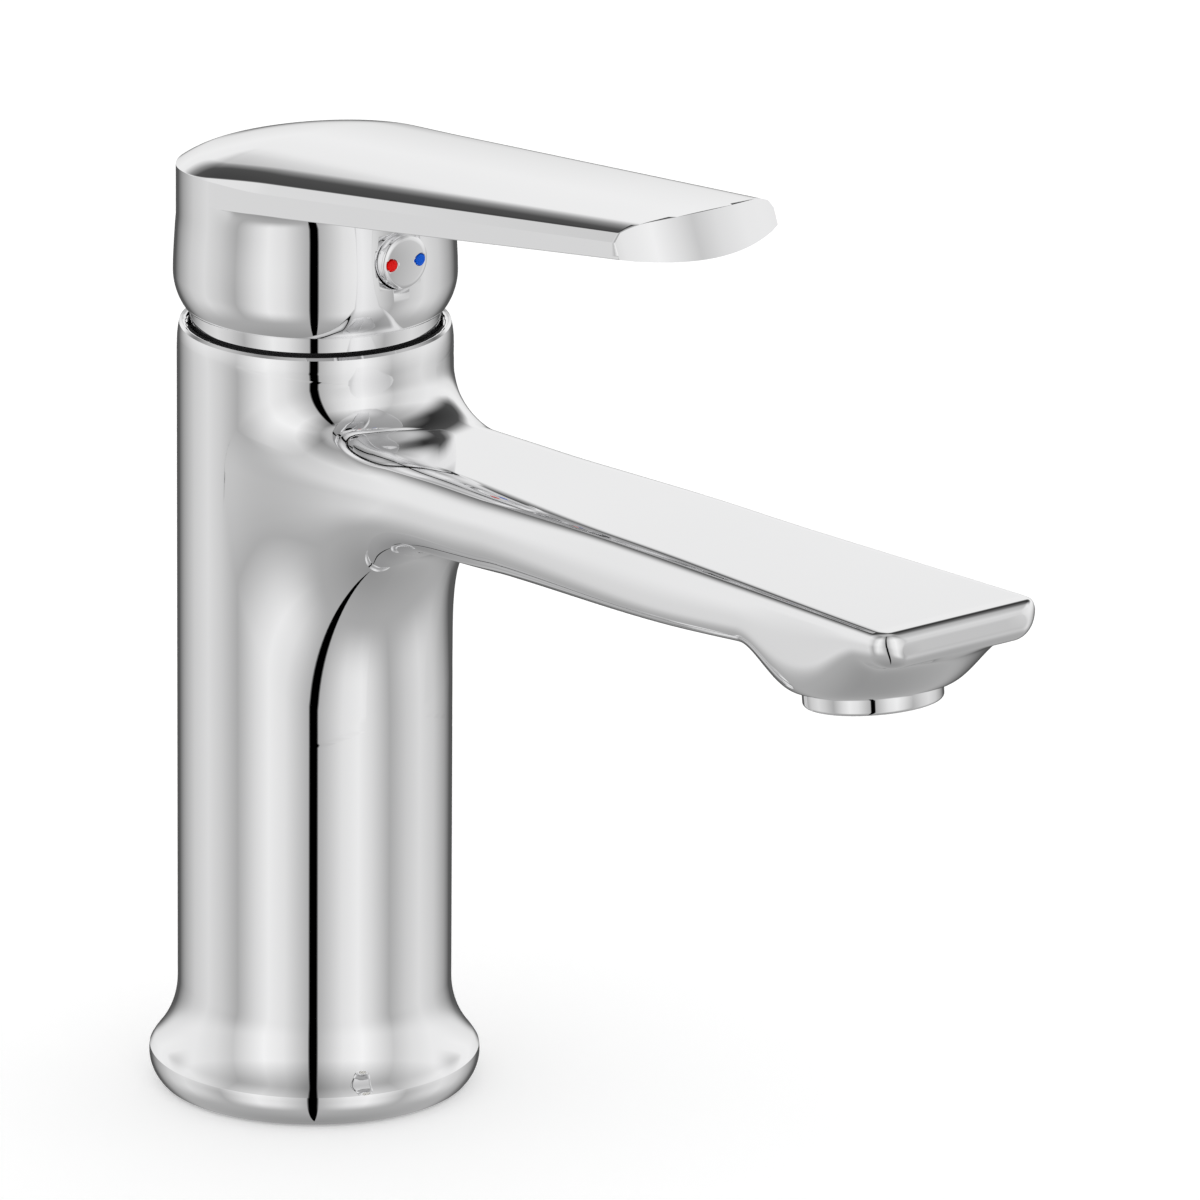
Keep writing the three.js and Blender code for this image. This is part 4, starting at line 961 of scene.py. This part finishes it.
# ---- Materials ----
class Nodes:
    """A material's node tree, with short calls for the nodes used here."""

    def __init__(self, name):
        self.material = bpy.data.materials.new(name)
        self.material.use_nodes = True
        self.tree = self.material.node_tree
        self.shader = self.tree.nodes["Principled BSDF"]
        self.where = self.tree.nodes.new("ShaderNodeTexCoord").outputs["Object"]

    def link(self, a, b):
        self.tree.links.new(a, b)

    def set(self, **values):
        for name, value in values.items():
            self.shader.inputs[name.replace("_", " ")].default_value = value

    def noise(self, scale, detail=2.0, rough=0.5):
        node = self.tree.nodes.new("ShaderNodeTexNoise")
        node.inputs["Scale"].default_value = scale
        node.inputs["Detail"].default_value = detail
        node.inputs["Roughness"].default_value = rough
        self.link(self.where, node.inputs["Vector"])
        return node.outputs["Fac"]

    def ramp(self, source, stops):
        node = self.tree.nodes.new("ShaderNodeValToRGB")
        ramp = node.color_ramp
        while len(ramp.elements) < len(stops):
            ramp.elements.new(0.5)
        for element, (at, colour) in zip(ramp.elements, stops):
            element.position = at
            element.color = (*colour, 1) if len(colour) == 3 else colour
        self.link(source, node.inputs["Fac"])
        return node.outputs["Color"]

    def span(self, source, low, high):
        node = self.tree.nodes.new("ShaderNodeMapRange")
        node.inputs["To Min"].default_value = low
        node.inputs["To Max"].default_value = high
        self.link(source, node.inputs["Value"])
        return node.outputs["Result"]

    def mottle(self, source, dark, light, stops=(0.3, 0.7)):
        """Gives the colour from dark to light over the stretch of the noise between the stops."""
        colour = self.ramp(source, ((stops[0], dark), (stops[1], light)))
        self.link(colour, self.shader.inputs["Base Color"])

    def roughen(self, source, low, high):
        self.link(self.span(source, low, high), self.shader.inputs["Roughness"])

    def bump(self, source, distance, strength):
        node = self.tree.nodes.new("ShaderNodeBump")
        node.inputs["Strength"].default_value = strength
        node.inputs["Distance"].default_value = distance
        self.link(source, node.inputs["Height"])
        self.link(node.outputs["Normal"], self.shader.inputs["Normal"])


def chrome():
    m = Nodes("chrome")
    m.set(Metallic=1.0)
    m.mottle(m.noise(scale=9.0), (0.9, 0.9, 0.905), (0.935, 0.935, 0.94), stops=(0.35, 0.65))
    m.roughen(m.noise(scale=60.0, detail=4.0, rough=0.6), low=0.008, high=0.03)
    m.bump(m.noise(scale=400.0), distance=0.000001, strength=0.1)
    return m.material


def metal(name, dark, light, rough):
    m = Nodes(name)
    m.set(Metallic=1.0)
    m.mottle(m.noise(scale=140.0, detail=4.0), dark, light)
    m.roughen(m.noise(scale=420.0, detail=3.0), low=rough - 0.06, high=rough + 0.1)
    m.bump(m.noise(scale=1500.0), distance=0.00004, strength=0.4)
    return m.material


def moulded(name, dark, light, rough, grain=0.00003):
    m = Nodes(name)
    m.mottle(m.noise(scale=90.0, detail=3.0), dark, light)
    m.roughen(m.noise(scale=300.0, detail=3.0), low=rough - 0.05, high=rough + 0.1)
    m.bump(m.noise(scale=1100.0), distance=grain, strength=0.5)
    return m.material


def enamel(name, dark, light):
    m = Nodes(name)
    m.mottle(m.noise(scale=700.0, detail=3.0), dark, light)
    m.roughen(m.noise(scale=900.0), low=0.2, high=0.32)
    m.set(Specular_IOR_Level=0.15)
    m.bump(m.noise(scale=2400.0), distance=0.00001, strength=0.4)
    return m.material


MATERIALS = {
    "chrome": chrome(),
    "brass": metal("brass", (0.5, 0.34, 0.11), (0.66, 0.48, 0.2), rough=0.3),
    "steel": metal("steel", (0.42, 0.42, 0.43), (0.58, 0.58, 0.59), rough=0.28),
    "ceramic": moulded("ceramic", (0.8, 0.78, 0.73), (0.88, 0.87, 0.83), rough=0.22, grain=0.00001),
    "white_plastic": moulded("white_plastic", (0.72, 0.71, 0.67), (0.82, 0.81, 0.77), rough=0.45),
    "grey_plastic": moulded("grey_plastic", (0.28, 0.3, 0.31), (0.37, 0.39, 0.4), rough=0.48),
    "rubber": moulded("rubber", (0.008, 0.008, 0.009), (0.022, 0.022, 0.024), rough=0.72, grain=0.00006),
    "red_mark": enamel("red_mark", (0.86, 0.0, 0.0), (0.95, 0.006, 0.004)),
    "blue_mark": enamel("blue_mark", (0.0, 0.1, 0.72), (0.002, 0.14, 0.82)),
}

NODE_LOOKS = {
    "base_gasket": "rubber",
    "cartridge_base": "grey_plastic",
    "port_seal_hot": "rubber",
    "port_seal_cold": "rubber",
    "fixed_disc": "ceramic",
    "moving_disc": "ceramic",
    "disc_carrier": "white_plastic",
    "cartridge_housing": "white_plastic",
    "housing_oring": "rubber",
    "rotor": "grey_plastic",
    "pivot_pin": "steel",
    "stem": "brass",
    "cartridge_nut": "brass",
    "set_screw": "steel",
    "aerator_insert": "white_plastic",
    "aerator_screen": "steel",
    "aerator_washer": "rubber",
}


def dress(piece, look):
    piece.data.materials.clear()
    piece.data.materials.append(MATERIALS[look])


def place(piece, body, look, node):
    """Gives a made piece its look and its body, and hides the CAD node that it stands for."""
    dress(piece, look)
    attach(piece, body)
    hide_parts(node)


def paint_gap_shade(ring):
    """Painted shade: the ring's neck, inside the shadow gap, gets the dark rubber look, so the gap shows as a
    black line of shade.
    """
    # the rubber look here is painted shade on the chrome ring, not a rubber part
    ring.data.materials.append(MATERIALS["rubber"])
    for face in ring.data.polygons:
        if face.center.z < (RING_NECK_TOP + GAP / 2) * MM:
            face.material_index = 1


def dress_frame():
    for name, look in NODE_LOOKS.items():
        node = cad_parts[name]
        for slot in node.material_slots:
            slot.material = MATERIALS[look]


# ---- Studio ----
class Sky:
    """The world's node tree, with short calls for the nodes used here."""

    def __init__(self, world):
        self.nodes, self.links = world.node_tree.nodes, world.node_tree.links

    def feed(self, socket, value):
        if isinstance(value, (int, float)):
            socket.default_value = value
        else:
            self.links.new(value, socket)

    def math(self, kind, *values):
        node = self.nodes.new("ShaderNodeMath")
        node.operation = kind
        for socket, value in zip(node.inputs, values):
            self.feed(socket, value)
        return node.outputs[0]

    def step(self, value, low, high):
        node = self.nodes.new("ShaderNodeMapRange")
        node.interpolation_type = "SMOOTHSTEP"
        self.feed(node.inputs["Value"], value)
        node.inputs["From Min"].default_value = low
        node.inputs["From Max"].default_value = high
        return node.outputs[0]

    def ramp(self, value, stops, low, high):
        """A grey ramp over degrees from low to high."""
        node = self.nodes.new("ShaderNodeValToRGB")
        elements = node.color_ramp.elements
        while len(elements) < len(stops):
            elements.new(0.5)
        for element, (degrees, level) in zip(elements, stops):
            element.position = (degrees - low) / (high - low)
            element.color = (level / RAMP_SCALE,) * 3 + (1,)
        node.color_ramp.interpolation = "LINEAR"
        share = self.math("DIVIDE", self.math("SUBTRACT", value, low), high - low)
        self.links.new(share, node.inputs["Fac"])
        return self.math("MULTIPLY", node.outputs["Color"], RAMP_SCALE)

    def mix(self, share, a, b):
        return self.math("ADD", a, self.math("MULTIPLY", share, self.math("SUBTRACT", b, a)))


def make_world():
    """Soft light by direction. Chrome sees its ramps; matt surfaces are lit evenly."""
    world = bpy.data.worlds.new("studio")
    bpy.context.scene.world = world
    world.use_nodes = True
    sky = Sky(world)
    turn = sky.nodes.new("ShaderNodeVectorRotate")
    turn.rotation_type = "Z_AXIS"
    turn.inputs["Angle"].default_value = -CAMERA_AZIMUTH
    sky.links.new(sky.nodes.new("ShaderNodeTexCoord").outputs["Generated"], turn.inputs["Vector"])
    split = sky.nodes.new("ShaderNodeSeparateXYZ")
    sky.links.new(turn.outputs[0], split.inputs[0])
    x, y, z = split.outputs
    azimuth = sky.math("ABSOLUTE", sky.math("DEGREES", sky.math("ARCTAN2", x, sky.math("MULTIPLY", y, -1.0))))
    height = sky.math("DEGREES", sky.math("ARCSINE", z))
    side, upper = (sky.ramp(azimuth, stops, 0, 180) for stops in (SIDE_RAMP, UPPER_RAMP))
    high, ground, wall = (sky.ramp(height, stops, -90, 90) for stops in (HIGH_RAMP, GROUND_RAMP, BACK_RAMP))
    upper = sky.math("MULTIPLY", upper, high)
    front = sky.mix(sky.step(height, UPPER_FROM, UPPER_FULL), side, upper)
    ground = sky.math("MULTIPLY", sky.step(azimuth, *STRIPE), ground)
    front = sky.mix(sky.step(height, GROUND_FROM, GROUND_FULL), front, ground)
    overhead = sky.mix(sky.step(height, STRIPE_TOP - STRIPE_FADE, STRIPE_TOP), front, OVERHEAD)
    back = sky.mix(sky.step(height, LOW_FROM, LOW_FULL), front, wall)
    seen = sky.mix(sky.step(azimuth, BACK_FROM, BACK_FULL), overhead, back)
    diffuse = sky.nodes.new("ShaderNodeLightPath").outputs["Is Diffuse Ray"]
    sky.links.new(sky.mix(diffuse, seen, DIFFUSE_RADIANCE), sky.nodes["Background"].inputs["Color"])


def make_floor():
    half = FLOOR_SIDE / 2
    corners = [(-half, -half), (half, -half), (half, half), (-half, half)]
    mesh = bpy.data.meshes.new("floor")
    mesh.from_pydata([(x, y, -FLOOR_DROP) for x, y in corners], [], [(0, 1, 2, 3)])
    floor = bpy.data.objects.new("floor", mesh)
    bpy.context.scene.collection.objects.link(floor)
    m = Nodes("floor")
    m.mottle(m.noise(scale=3.0), FLOOR_DARK, FLOOR_LIGHT)
    m.set(Roughness=FLOOR_ROUGHNESS, Emission_Color=(1, 1, 1, 1), Emission_Strength=FLOOR_GLOW)
    mesh.materials.append(m.material)
    floor.visible_glossy = False


def make_camera():
    camera = bpy.data.objects.new("camera", bpy.data.cameras.new("camera"))
    bpy.context.scene.collection.objects.link(camera)
    camera.data.lens = CAMERA_LENS
    camera.data.sensor_width = CAMERA_SENSOR
    camera.data.clip_start, camera.data.clip_end = CAMERA_CLIP
    a, e = CAMERA_AZIMUTH, CAMERA_ELEVATION
    back = Vector((math.sin(a) * math.cos(e), -math.cos(a) * math.cos(e), math.sin(e)))
    right = Vector((math.cos(a), math.sin(a), 0))
    up = back.cross(right)
    rolled_right = right * math.cos(CAMERA_ROLL) + up * math.sin(CAMERA_ROLL)
    rolled_up = back.cross(rolled_right)
    position = (Vector(CAMERA_TARGET) + back * CAMERA_DISTANCE) * MM
    camera.matrix_world = Matrix((
        (rolled_right.x, rolled_up.x, back.x, position.x),
        (rolled_right.y, rolled_up.y, back.y, position.y),
        (rolled_right.z, rolled_up.z, back.z, position.z),
        (0, 0, 0, 1),
    ))
    bpy.context.scene.camera = camera


dress_frame()
place(make_body(), "faucet", "chrome", "body")
trim_ring = make_trim_ring()
place(trim_ring, "faucet", "chrome", "trim_ring")
# painted shade in the shadow gap under the ring's shoulder
paint_gap_shade(trim_ring)
place(make_collar(), "faucet", "chrome", "aerator_housing")
place(make_handle(), "lever", "chrome", "handle")
place(make_plug(), "lever", "chrome", "index_plug")
place(make_dot("red_dot_enamel", -DOT_X), "lever", "red_mark", "red_dot")
place(make_dot("blue_dot_enamel", DOT_X), "lever", "blue_mark", "blue_dot")
make_world()
make_floor()
make_camera()
bpy.context.scene.view_settings.view_transform = "Standard"
